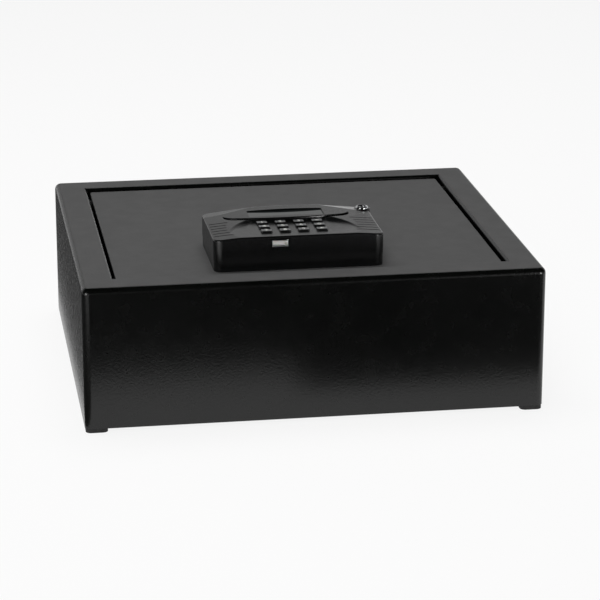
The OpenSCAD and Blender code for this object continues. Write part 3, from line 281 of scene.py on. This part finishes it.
def pickParts(piece, domain, wanted):
    # selects the edges or faces that the test accepts, and stays in edit mode
    selectOnly(piece)
    bpy.ops.object.mode_set(mode="EDIT")
    bpy.ops.mesh.select_mode(type="EDGE" if domain == "edges" else "FACE")
    bpy.ops.mesh.select_all(action="DESELECT")
    work = bmesh.from_edit_mesh(piece.data)
    for part in getattr(work, domain):
        part.select_set(bool(wanted(part)))
    work.select_flush_mode()
    bmesh.update_edit_mesh(piece.data)


def bevelPicked(piece, wanted, width, segments=3):
    pickParts(piece, "edges", wanted)
    bpy.ops.mesh.bevel(
        offset=width, offset_type="OFFSET", segments=segments, affect="EDGES", clamp_overlap=False)
    bpy.ops.object.mode_set(mode="OBJECT")


def isUpright(edge):
    first, second = (v.co for v in edge.verts)
    return abs(first.z - second.z) > nearly and (first - second).xy.length < nearly


def edgeAtHeight(height):
    return lambda edge: (all(abs(v.co.z - height) < nearly for v in edge.verts)
                         and edge.calc_face_angle(0) > sharpEdge)


def edgeAtMouth(y):
    return lambda edge: all(v.co.y < y + nearly for v in edge.verts) and edge.calc_face_angle(0) > sharpEdge


def carve(piece, cutter, operation="DIFFERENCE"):
    # Boolean with a cutter that is used up
    selectOnly(piece)
    modifier = piece.modifiers.new("carve", "BOOLEAN")
    modifier.operation = operation
    modifier.solver = "EXACT"
    modifier.object = cutter
    bpy.ops.object.modifier_apply(modifier=modifier.name)
    bpy.data.objects.remove(cutter)


def joinTo(piece, others):
    # one object out of several
    selectOnly(piece)
    for other in others:
        other.select_set(True)
    bpy.ops.object.join()
    return piece


def span(low, high):
    # middle and length
    return (low + high) / 2, high - low


def finishPiece(piece, body, slot, replaced, smoothAngle=35):
    # millimetres to metres, soft shading, material, body and the CAD node it stands for
    selectOnly(piece)
    piece.scale = (mm, mm, mm)
    bpy.ops.object.transform_apply(location=True, rotation=True, scale=True)
    bpy.ops.object.shade_smooth_by_angle(angle=math.radians(smoothAngle))
    if not piece.data.materials:
        piece.data.materials.append(finishes[slot])
    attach(piece, body)
    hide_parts(replaced)


# Cover of the lock: arched top, hood, basin round the keys, grooves and the key cylinder's boss

cover = {   # millimetres and degrees, placed in the safe's own frame
    "left": -87.5, "right": 68.5, "front": -143.0, "rear": -45.0, "corner": 8.0,
    "parting": 142.0, "crown": 165.5, "archDrop": 4.0, "rim": 1.5, "wall": 2.5, "hollowTop": 158.5,
    "faceX": -11.5, "basinAhead": 8.0, "basinRadius": 61.5, "basinFrontDown": 1.8, "basinRearDown": 4.5,
    "basinSoft": 2.6, "hoodFront": 56.0, "hoodRadius": 140.0, "hoodHalf": 59.0, "hoodRim": 0.8,
    "hoodWall": 0.7, "hoodStart": 0.02, "hoodRoom": 14.0,
    "lineWidth": 7.0, "lineDeep": 2.6, "lineFade": 1.6, "curlFrom": 51.0, "curlReach": 9.0, "curlRise": 0.07,
    "facetStart": 30.0, "facetTurn": 26.0, "facetFall": 3.2, "facetTilt": 7.5,
    "columnStep": 0.55, "frontRows": 88, "rearRows": 24,   # how fine the top's grid is
    "grooveCount": 6, "grooveFirst": 54.0, "groovePitch": 8.0, "grooveWidth": 1.6, "grooveDeep": 1.2,
    "grooveRing": 60.0, "grooveRingAhead": 35.0, "grooveEnd": 1.8, "grooveBends": 8, "grooveOpen": 4.0,
    # a "Cut" runs from its lower to its upper height, past the faces that it opens
    "windowSize": (70.0, 21.5), "windowAhead": 23.5, "windowCut": (152.0, 168.0), "slopeDown": 0.4,
    "slopeHeight": 4.0, "slopeSpread": 8.0, "paneRim": 1.2, "paneDown": 1.7, "paneSeatLow": 156.0,
    "bossX": 63.0, "bossY": -55.5, "bossRadius": 7.5, "bossTop": 162.3, "bossRound": 0.6,
    "boreRadius": 5.7, "boreCut": (139.0, 169.0),
    "keyHole": (10.8, 8.0), "keyHoleCorner": 1.3, "keyCut": (156.0, 168.0),
    "portX": -27.0, "portLow": 153.5, "portSize": (15.0, 6.5), "portGap": 0.2, "portSurround": 1.2,
    "portSunk": 0.8, "portDeep": 8.0,
}
midX = (cover["left"] + cover["right"]) / 2
midY = (cover["front"] + cover["rear"]) / 2
halfWidth = (cover["right"] - cover["left"]) / 2
halfDepth = (cover["rear"] - cover["front"]) / 2
archRadius = (halfWidth ** 2 + cover["archDrop"] ** 2) / (2 * cover["archDrop"])
basinY = cover["front"] + cover["basinAhead"]
basinLength = cover["basinAhead"] + cover["basinRadius"]
basinSlope = (cover["basinRearDown"] - cover["basinFrontDown"]) / basinLength
hoodY = cover["front"] + cover["hoodFront"] + cover["hoodRadius"]


def softStep(value):
    value = min(1.0, max(0.0, value))
    return value * value * (3 - 2 * value)


def roundOver(distance, radius):
    # how far a rounded edge has fallen at a distance from it
    if distance >= radius:
        return 0.0
    return radius - math.sqrt(max(0.0, radius ** 2 - (radius - distance) ** 2))


def archHeight(x):
    return cover["crown"] - archRadius + math.sqrt(archRadius ** 2 - (x - midX) ** 2)


def hoodEdge(x):
    # an arc whose two ends curl to the rear
    across = x - cover["faceX"]
    curl = min(max(abs(across) - cover["curlFrom"], 0), cover["curlReach"])
    return hoodY - math.sqrt(cover["hoodRadius"] ** 2 - across ** 2) + cover["curlRise"] * curl ** 2


def basinFloor(y):
    return cover["crown"] - cover["basinFrontDown"] - (y - cover["front"]) * basinSlope


def facetHeight(x, y):
    # the sloping flat at each rear corner, the same on both sides of the middle
    along = abs(x - midX) - cover["facetStart"]
    behind = y - cover["rear"]
    turn, fall, tilt = (math.radians(cover[k]) for k in ("facetTurn", "facetFall", "facetTilt"))
    start = archHeight(midX + cover["facetStart"])
    right = along * math.cos(turn) - behind * math.sin(turn)
    back = along * math.sin(turn) + behind * math.cos(turn)
    if back < 0:
        return cover["crown"]
    return start - right * math.tan(fall) - back * math.tan(tilt)


def coverHeight(x, y, edgeGap):
    top = archHeight(x)
    ahead = hoodEdge(x) - y
    inside = cover["basinRadius"] - math.hypot(x - cover["faceX"], y - basinY)
    deep = max(0.0, top - basinFloor(y))
    mask = softStep(inside / cover["basinSoft"]) * softStep(ahead / cover["hoodWall"])
    height = top - mask * deep
    reach = cover["hoodHalf"] - abs(x - cover["faceX"])
    if reach > 0 and cover["hoodStart"] < ahead < cover["lineWidth"]:
        ramp = 1 - ahead / cover["lineWidth"]
        height = min(height, top - cover["lineDeep"] * ramp * softStep(reach / cover["lineFade"]))
    if ahead <= cover["hoodStart"]:
        height -= roundOver(max(0.0, -ahead), cover["hoodRim"]) * softStep(reach / cover["lineFade"])
    return min(height, facetHeight(x, y)) - roundOver(edgeGap, cover["rim"])


def cornerDrop(across):
    # how far the outline stands back from the front or rear edge near an upright corner
    along = max(0.0, abs(across) - (halfWidth - cover["corner"]))
    return cover["corner"] - math.sqrt(max(0.0, cover["corner"] ** 2 - along ** 2))


def outlineGap(x, y):
    # distance inwards from the rounded outline
    dx = abs(x - midX) - (halfWidth - cover["corner"])
    dy = abs(y - midY) - (halfDepth - cover["corner"])
    outside = math.hypot(max(dx, 0), max(dy, 0)) + min(max(dx, dy), 0)
    return max(0.0, cover["corner"] - outside)


def evenSteps(start, end, step):
    count = max(1, round(abs(end - start) / step))
    return [start + (end - start) * i / count for i in range(count + 1)]


# Columns crowd at the sides, rows at the front, the rear and the hood's edge
edgeSteps = [0, 0.1, 0.25, 0.5, 0.8, 1.1, 1.5, 2.2, 3.2, 4.5, 6.0, 8.0]
columnPlaces = [cover["left"] + s for s in edgeSteps[:-1]]
columnPlaces += evenSteps(cover["left"] + edgeSteps[-1], cover["right"] - edgeSteps[-1], cover["columnStep"])
columnPlaces += [cover["right"] - s for s in reversed(edgeSteps[:-1])]
rowEdges = edgeSteps[:8]
hoodSteps = [-7.5, -6.9, -6.0, -5.0, -4.0, -3.0, -2.0, -1.3, -0.7, -0.35, -0.04,
             0.0, 0.15, 0.35, 0.6, 0.9, 1.5, 3.0]


def rowPlaces(x):
    # the rows' places along one column, closer together where little room is left behind the hood
    frontRows, rearRows = cover["frontRows"], cover["rearRows"]
    near = cover["front"] + cornerDrop(x - midX)
    far = cover["rear"] - cornerDrop(x - midX)
    hood = hoodEdge(x)
    shrink = min(1.0, (far - hood) / cover["hoodRoom"])
    rear = [far - s * shrink for s in reversed(rowEdges)]
    first = near + rowEdges[-1]
    rows = [near + s for s in rowEdges[:-1]]
    rows += [first + (hood + hoodSteps[0] - first) * i / frontRows for i in range(frontRows)]
    rows += [hood + s * (1 if s < 0 else shrink) for s in hoodSteps]
    start = rows[-1]
    rows += [start + (rear[0] - start) * i / rearRows for i in range(1, rearRows)]
    return rows + rear


rowTotal = len(rowPlaces(midX))
bpy.ops.object.select_all(action="DESELECT")
bpy.ops.mesh.primitive_grid_add(
    x_subdivisions=len(columnPlaces) - 1, y_subdivisions=rowTotal - 1, size=1)
lockCover = settle("lockCover")
gridPoints = sorted(lockCover.data.vertices, key=lambda v: (round(v.co.x, 5), v.co.y))
for column, x in enumerate(columnPlaces):
    for row, y in enumerate(rowPlaces(x)):
        gridPoints[column * rowTotal + row].co = (x, y, coverHeight(x, y, outlineGap(x, y)))
pickParts(lockCover, "edges", lambda edge: edge.is_boundary)
bpy.ops.mesh.extrude_region_move(TRANSFORM_OT_translate={"value": (0, 0, -1)})
walls = bmesh.from_edit_mesh(lockCover.data)
for point in walls.verts:
    if point.select:
        point.co.z = cover["parting"]
bpy.ops.mesh.edge_face_add()
bpy.ops.mesh.select_all(action="SELECT")
bpy.ops.mesh.normals_make_consistent(inside=False)
bpy.ops.object.mode_set(mode="OBJECT")
print("lock cover's skin:", len(lockCover.data.polygons), "faces")

# Boss of the key cylinder
middle, height = span(cover["parting"], cover["bossTop"])
boss = addDisc("boss", (cover["bossX"], cover["bossY"], middle), cover["bossRadius"], height)
bevelPicked(boss, edgeAtHeight(cover["bossTop"]), cover["bossRound"])
carve(lockCover, boss, "UNION")

# Hollow below the top, a wall's thickness away and open below
middle, height = span(cover["parting"] - 2, cover["hollowTop"])
hollow = addBlock("hollow", (midX, midY, middle), (
    2 * (halfWidth - cover["wall"]), 2 * (halfDepth - cover["wall"]), height))
bevelPicked(hollow, isUpright, cover["corner"] - cover["wall"], 6)
carve(lockCover, hollow)

# Seat of the window's pane, and the window, whose left and right edges slope
windowY = cover["rear"] - cover["windowAhead"]
paneWidth = cover["windowSize"][0] + 2 * cover["paneRim"]
paneDepth = cover["windowSize"][1] + 2 * cover["paneRim"]
middle, height = span(cover["paneSeatLow"], cover["crown"] - cover["paneDown"])
carve(lockCover, addBlock("paneSeat", (cover["faceX"], windowY, middle), (paneWidth, paneDepth, height)))
middle, height = span(*cover["windowCut"])
carve(lockCover, addBlock("windowCut", (cover["faceX"], windowY, middle), (*cover["windowSize"], height)))
slopeMiddle = cover["crown"] - cover["slopeDown"] + cover["slopeHeight"] / 2
windowSlope = addBlock("windowSlope", (cover["faceX"], windowY, slopeMiddle), (
    *cover["windowSize"], cover["slopeHeight"]))
pickParts(windowSlope, "faces", lambda face: face.normal.z > 0.9)
bpy.ops.transform.resize(value=(1 + cover["slopeSpread"] / cover["windowSize"][0], 1, 1))
bpy.ops.object.mode_set(mode="OBJECT")
carve(lockCover, windowSlope)

# Holes of the keys, one for each CAD key
keyNames = ["1", "2", "3", "star", "4", "5", "6", "0", "7", "8", "9", "hash"]
keyHoles = []
middle, height = span(*cover["keyCut"])
for keyName in keyNames:
    low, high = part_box("key_" + keyName)
    centreX, centreY = (low[0] + high[0]) / 2 / mm, (low[1] + high[1]) / 2 / mm
    keyHole = addBlock("keyHole", (centreX, centreY, middle), (*cover["keyHole"], height))
    bevelPicked(keyHole, isUpright, cover["keyHoleCorner"])
    keyHoles.append(keyHole)
carve(lockCover, joinTo(keyHoles[0], keyHoles[1:]))

# Fine grooves on both sides of the keypad, which follow the arch
grooves = []
for side in (-1, 1):
    for i in range(cover["grooveCount"]):
        y = cover["front"] + cover["grooveFirst"] - i * cover["groovePitch"]
        fromRing = y - cover["front"] - cover["grooveRingAhead"]
        start = cover["faceX"] + side * math.sqrt(cover["grooveRing"] ** 2 - fromRing ** 2)
        end = midX + side * (halfWidth - cover["grooveEnd"])
        bpy.ops.object.select_all(action="DESELECT")
        bpy.ops.mesh.primitive_grid_add(x_subdivisions=cover["grooveBends"], y_subdivisions=1, size=1)
        groove = settle("groove")
        for point in groove.data.vertices:
            x = (start + end) / 2 + point.co.x * (end - start)
            point.co = (x, y + point.co.y * cover["grooveWidth"], archHeight(x) - cover["grooveDeep"])
        pickParts(groove, "faces", lambda face: True)
        bpy.ops.mesh.extrude_region_move(TRANSFORM_OT_translate={"value": (0, 0, cover["grooveOpen"])})
        bpy.ops.mesh.select_all(action="SELECT")
        bpy.ops.mesh.normals_make_consistent(inside=False)
        bpy.ops.object.mode_set(mode="OBJECT")
        grooves.append(groove)
carve(lockCover, joinTo(grooves[0], grooves[1:]))

# Bore of the key cylinder, and the service port's opening with its sunk surround
middle, height = span(*cover["boreCut"])
carve(lockCover, addDisc("bore", (cover["bossX"], cover["bossY"], middle), cover["boreRadius"], height))
portWidth, portHeight = (s + 2 * cover["portGap"] for s in cover["portSize"])
portMidZ = cover["portLow"] + cover["portSize"][1] / 2
carve(lockCover, addBlock("portCut", (cover["portX"], cover["front"], portMidZ), (
    portWidth, cover["portDeep"], portHeight)))
portFrame = addBlock("portFrame", (cover["portX"], cover["front"], portMidZ), (
    cover["portSize"][0] + 2 * cover["portSurround"], 2 * cover["portSunk"],
    cover["portSize"][1] + 2 * cover["portSurround"]))
carve(lockCover, portFrame)
finishPiece(lockCover, "lid", "abs_black", "lock_cover", 40)
print("lock cover:", len(lockCover.data.polygons), "faces")


# Keys: one cap is modelled, and each key is a copy with its own mark

keyCap = {"width": 10.0, "depth": 7.2, "flange": 1.0, "corner": 0.9, "rim": 0.35, "dish": 0.08,
          "dishRim": 0.1, "digitHeight": 5.0, "symbolHeight": 4.0, "markProud": 0.1}
keyMarks = {"star": "*", "hash": "#"}
low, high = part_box("key_1")
keyHeight = (high[2] - low[2]) / mm
capMaster = addBlock("capMaster", (0, 0, keyHeight / 2), (keyCap["width"], keyCap["depth"], keyHeight))
bevelPicked(capMaster, isUpright, keyCap["corner"], 5)
bevelPicked(capMaster, edgeAtHeight(keyHeight), keyCap["rim"])
capMaster.data.materials.append(finishes["key_plastic"])
capMaster.data.materials.append(finishes["key_face"])
pickParts(capMaster, "faces", lambda face: face.calc_center_median().z > keyHeight - nearly)
bpy.ops.mesh.inset(thickness=keyCap["dishRim"])
bpy.ops.transform.translate(value=(0, 0, -keyCap["dish"]))
capMaster.active_material_index = 1
bpy.ops.object.material_slot_assign()
bpy.ops.object.mode_set(mode="OBJECT")
capFlange = addBlock("capFlange", (0, 0, keyCap["flange"] / 2), (
    (high[0] - low[0]) / mm, (high[1] - low[1]) / mm, keyCap["flange"]))
bevelPicked(capFlange, isUpright, keyCap["corner"])
carve(capMaster, capFlange, "UNION")
for keyName in keyNames:
    low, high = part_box("key_" + keyName)
    centre = Vector(((low[0] + high[0]) / 2, (low[1] + high[1]) / 2, low[2])) / mm
    cap = capMaster.copy()
    cap.data = capMaster.data.copy()
    cap.name = cap.data.name = "keyCap_" + keyName
    bpy.context.scene.collection.objects.link(cap)
    cap.location = centre
    bpy.ops.object.select_all(action="DESELECT")
    bpy.ops.object.text_add()
    mark = bpy.context.object
    mark.data.body = keyMarks.get(keyName, keyName)
    mark.data.extrude = keyCap["markProud"]
    mark.data.align_x, mark.data.align_y = "CENTER", "CENTER"
    bpy.ops.object.convert(target="MESH")
    xs, ys = ([v.co[axis] for v in mark.data.vertices] for axis in (0, 1))
    markHeight = keyCap["symbolHeight" if keyName in keyMarks else "digitHeight"]
    size = markHeight / (max(ys) - min(ys))
    for point in mark.data.vertices:
        point.co.x = (point.co.x - (max(xs) + min(xs)) / 2) * size
        point.co.y = (point.co.y - (max(ys) + min(ys)) / 2) * size
    mark.location = centre + Vector((0, 0, keyHeight - keyCap["dish"] + keyCap["markProud"] / 2))
    mark.data.materials.append(finishes["key_print"])
    for item in (mark, cap):
        selectOnly(item)
        bpy.ops.object.transform_apply(location=True, rotation=True, scale=True)
    joinTo(cap, [mark])
    finishPiece(cap, "button_" + keyName, "key_plastic", "key_" + keyName)
bpy.data.objects.remove(capMaster)
print("keys:", len(keyNames))


# Barrel of the key cylinder: turned, with a rounded chrome rim

barrel = {"radius": 5.6, "rimRadius": 5.9, "bore": 4.06, "rimHeight": 2.0, "rimRound": 1.3, "chamfer": 0.5,
          "mouth": ((0.6, 0.1), (0.15, 0.5), (0.0, 1.0)),   # out from the bore, down from the top
          "sides": 64}
low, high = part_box("cylinder_barrel")
barrelLow, barrelHigh = low[2] / mm, high[2] / mm
bossLevel = barrelHigh - barrel["rimHeight"]
barrelProfile = [(barrel["bore"], barrelLow), (barrel["radius"] - barrel["chamfer"], barrelLow),
                 (barrel["radius"], barrelLow + barrel["chamfer"]), (barrel["radius"], bossLevel),
                 (barrel["rimRadius"], bossLevel)]
for angle in range(0, 91, 15):
    inwards = barrel["rimRound"] * (1 - math.cos(math.radians(angle)))
    down = barrel["rimRound"] * (1 - math.sin(math.radians(angle)))
    barrelProfile.append((barrel["rimRadius"] - inwards, barrelHigh - down))
barrelProfile += [(barrel["bore"] + out, barrelHigh - down) for out, down in barrel["mouth"]]
bpy.ops.object.select_all(action="DESELECT")
bpy.ops.mesh.primitive_circle_add(vertices=len(barrelProfile), radius=1, fill_type="NOTHING")
barrelPiece = settle("cylinderBarrel")
for point, (radius, z) in zip(barrelPiece.data.vertices, barrelProfile):
    point.co = (cover["bossX"] + radius, cover["bossY"], z)
pickParts(barrelPiece, "edges", lambda edge: True)
bpy.ops.mesh.spin(steps=barrel["sides"], angle=math.radians(360), axis=(0, 0, 1),
                  center=(cover["bossX"], cover["bossY"], 0))
bpy.ops.mesh.select_all(action="SELECT")
bpy.ops.mesh.remove_doubles(threshold=nearly)
bpy.ops.mesh.normals_make_consistent(inside=False)
bpy.ops.object.mode_set(mode="OBJECT")
finishPiece(barrelPiece, "lid", "chrome", "cylinder_barrel")


# Service port: folded steel shell with a rolled mouth, and a white insert with a slot and a square eye

port = {"wall": 0.5, "corner": 1.0, "mouthRound": 0.15, "insertSunk": 0.7, "insertGap": 0.3,
        "insertLow": 1.0, "slotHeight": 0.7, "slotDeep": 5.0, "slotMargin": 1.0, "slotOpen": 0.01,
        "eyeSize": 1.3, "eyeRight": 4.6, "eyeDown": 0.3}
low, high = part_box("port_shell")
portCentre = (Vector(low) + Vector(high)) / 2 / mm
portSize = (Vector(high) - Vector(low)) / mm
portMouth = low[1] / mm
shell = addBlock("portShell", portCentre, portSize)


def alongPort(edge):
    first, second = (v.co for v in edge.verts)
    return abs(first.y - second.y) > 1   # longer than a millimetre from front to rear


bevelPicked(shell, alongPort, port["corner"], 4)
pickParts(shell, "faces", lambda face: face.normal.y < -0.9)
bpy.ops.mesh.inset(thickness=port["wall"])
bpy.ops.mesh.extrude_region_move(TRANSFORM_OT_translate={"value": (0, portSize.y - port["wall"], 0)})
bpy.ops.object.mode_set(mode="OBJECT")
bevelPicked(shell, edgeAtMouth(portMouth), port["mouthRound"], 2)
finishPiece(shell, "lid", "chrome", "port_shell")

insertFront = portMouth + port["insertSunk"]
insertSize = Vector((
    portSize.x - 2 * port["wall"] - port["insertGap"],
    portSize.y - port["wall"] - port["insertSunk"],
    portSize.z - 2 * port["wall"] - port["insertLow"]))
insertMiddle = Vector((
    portCentre.x, insertFront + insertSize.y / 2, portCentre.z + port["insertLow"] / 2))
insert = addBlock("portInsert", insertMiddle, insertSize)
bevelPicked(insert, alongPort, port["corner"] - port["wall"] / 2, 3)
slotMiddle = insertMiddle.z + insertSize.z / 2 - port["slotHeight"] / 2 + port["slotOpen"]
carve(insert, addBlock("slot", (portCentre.x, portMouth, slotMiddle), (
    insertSize.x - 2 * port["slotMargin"], 2 * port["slotDeep"], port["slotHeight"])))
carve(insert, addBlock("eye", (portCentre.x + port["eyeRight"], portMouth, portCentre.z - port["eyeDown"]), (
    port["eyeSize"], 2 * port["slotDeep"], port["eyeSize"])))
bevelPicked(insert, edgeAtMouth(insertFront), port["mouthRound"], 2)
insert.data.materials.append(finishes["port_insert"])
finishPiece(insert, "lid", "nylon", "port_tongue")
print("small pieces done")


# Camera, at the photograph's viewing angle

cameraSettings = {
    "place": (-0.351533, -2.337082, 0.805144),   # metres, found from the outline of the case
    "pitch": 17.5552, "yaw": 8.8660,             # degrees down and to the right
    "lens": 153.792, "sensor": 36, "farthest": 50,
}
cameraData = bpy.data.cameras.new("photoCamera")
cameraData.lens = cameraSettings["lens"]
cameraData.sensor_width = cameraSettings["sensor"]
cameraData.clip_end = cameraSettings["farthest"]
camera = bpy.data.objects.new("photoCamera", cameraData)
camera.location = cameraSettings["place"]
camera.rotation_euler = (
    math.radians(90 - cameraSettings["pitch"]), 0, math.radians(-cameraSettings["yaw"]))
bpy.context.scene.collection.objects.link(camera)
bpy.context.scene.camera = camera


# Floor, surroundings and light

stage = {
    "floorSize": 40, "floorColour": "#f2f2f2", "lift": 0.87,
    "roomDark": "#0c0c0c", "roomLight": "#b4b4b4",
    "paleBehind": (0.1, 0.7), "paleBelow": (0.72, 0.5),   # where the room turns pale, none to full
    "lights": {   # place, aimed at, width, height, watts, seen by: "matt" or "gloss" surfaces
        "softboxAbove": ((-0.2, 0.3, 2.4), (0, 0, 0.1), 2.0, 1.6, 46, "matt"),
        "softboxFront": ((-0.7, -2.4, 1.6), (0, 0, 0.1), 1.2, 0.8, 22, "matt"),
        "stripLeft": ((-1.47, -1.58, 0.3), (-0.08, -0.14, 0.15), 0.9, 0.3, 9, "gloss"),
        "stripRight": ((1.25, -1.85, 0.3), (0.07, -0.14, 0.15), 0.6, 0.3, 9, "gloss"),
    },
    "cards": {   # place, width, depth, height, colour, strength; they show in reflections only
        "darkCardFront": ((0.245, -2.165, 0.001), (1.01, 3.67, 0.0002), "#060606", 1.0),
        "darkCardFrontRight": ((0.25, -0.3, 0.0015), (0.5, 0.06, 0.0002), "#303030", 1.0),
        "darkCardLeft": ((-1.02, 0.3, 0.001), (1.6, 1.6, 0.0002), "#525252", 1.0),
        "brightCardBehind": ((1.02, 3.2, 0.22), (0.95, 0.002, 0.44), "#ffffff", 1.3),
    },
}

# Matt white paper: it takes light and shadow, and looks white to the eye and in reflections
paper = bpy.data.materials.new("whitePaper")
paper.use_nodes = True
tree = paper.node_tree
tree.nodes.clear()
sheet = addNode(tree, "ShaderNodeBsdfPrincipled", {
    "Base Color": linearColour(stage["floorColour"]), "Roughness": 0.9, "Specular IOR Level": 0.0})
path = addNode(tree, "ShaderNodeLightPath")
seen = addNode(tree, "ShaderNodeMath", {
    0: path.outputs["Is Camera Ray"], 1: path.outputs["Is Glossy Ray"]}, operation="MAXIMUM")
seen = addNode(tree, "ShaderNodeMath", {
    0: seen.outputs[0], 1: path.outputs["Is Transmission Ray"]}, operation="MAXIMUM")
share = addNode(tree, "ShaderNodeMath", {0: seen.outputs[0], 1: stage["lift"]}, operation="MULTIPLY")
white = addNode(tree, "ShaderNodeEmission", {"Color": (1, 1, 1, 1), "Strength": 1.0})
blend = addNode(tree, "ShaderNodeMixShader", {
    0: share.outputs[0], 1: sheet.outputs["BSDF"], 2: white.outputs["Emission"]})
addNode(tree, "ShaderNodeOutputMaterial", {"Surface": blend.outputs["Shader"]})

bpy.ops.object.select_all(action="DESELECT")
bpy.ops.mesh.primitive_plane_add(size=stage["floorSize"], location=(0, 0, 0))
floorObject = settle("paperFloor")
floorObject.data.materials.append(paper)

# Cards: dark ones on the floor, for the dark studio of the photo, and a low bright one behind at the right
for name, (place, size, colour, strength) in stage["cards"].items():
    card = addBlock(name, place, size)
    cardPaint = bpy.data.materials.new(name + "Paint")
    cardPaint.use_nodes = True
    tree = cardPaint.node_tree
    tree.nodes.clear()
    glow = addNode(tree, "ShaderNodeEmission", {"Color": linearColour(colour), "Strength": strength})
    addNode(tree, "ShaderNodeOutputMaterial", {"Surface": glow.outputs["Emission"]})
    card.data.materials.append(cardPaint)
    card.visible_camera = card.visible_diffuse = card.visible_shadow = False

# The room: pale low down behind the safe, dark in front and above
world = bpy.data.worlds.new("studioWorld")
bpy.context.scene.world = world
world.use_nodes = True
tree = world.node_tree
tree.nodes.clear()
direction = addNode(tree, "ShaderNodeTexCoord")
part = addNode(tree, "ShaderNodeSeparateXYZ", {"Vector": direction.outputs["Generated"]})
noneBehind, fullBehind = stage["paleBehind"]
behind = addNode(tree, "ShaderNodeMapRange", {
    "Value": part.outputs["Y"], "From Min": noneBehind, "From Max": fullBehind},
    interpolation_type="SMOOTHSTEP")
noneBelow, fullBelow = stage["paleBelow"]
below = addNode(tree, "ShaderNodeMapRange", {
    "Value": part.outputs["Z"], "From Min": noneBelow, "From Max": fullBelow},
    interpolation_type="SMOOTHSTEP")
pale = addNode(tree, "ShaderNodeMath", {
    0: behind.outputs["Result"], 1: below.outputs["Result"]}, operation="MULTIPLY")
tone = addNode(tree, "ShaderNodeMix", {
    0: pale.outputs[0], 6: linearColour(stage["roomDark"]), 7: linearColour(stage["roomLight"])},
    data_type="RGBA")
room = addNode(tree, "ShaderNodeBackground", {"Color": tone.outputs[2], "Strength": 1.0})
addNode(tree, "ShaderNodeOutputWorld", {"Surface": room.outputs["Background"]})

# Lamps
for name, (place, target, width, height, power, seenBy) in stage["lights"].items():
    lightData = bpy.data.lights.new(name, "AREA")
    lightData.shape = "RECTANGLE"
    lightData.size, lightData.size_y = width, height
    lightData.energy = power
    lamp = bpy.data.objects.new(name, lightData)
    lamp.location = place
    lamp.rotation_euler = (Vector(target) - Vector(place)).to_track_quat("-Z", "Y").to_euler()
    lamp.visible_camera = False
    lamp.visible_glossy = seenBy == "gloss"
    lamp.visible_diffuse = seenBy == "matt"
    bpy.context.scene.collection.objects.link(lamp)
print("stage set")

bpy.context.scene.view_settings.view_transform = "Standard"
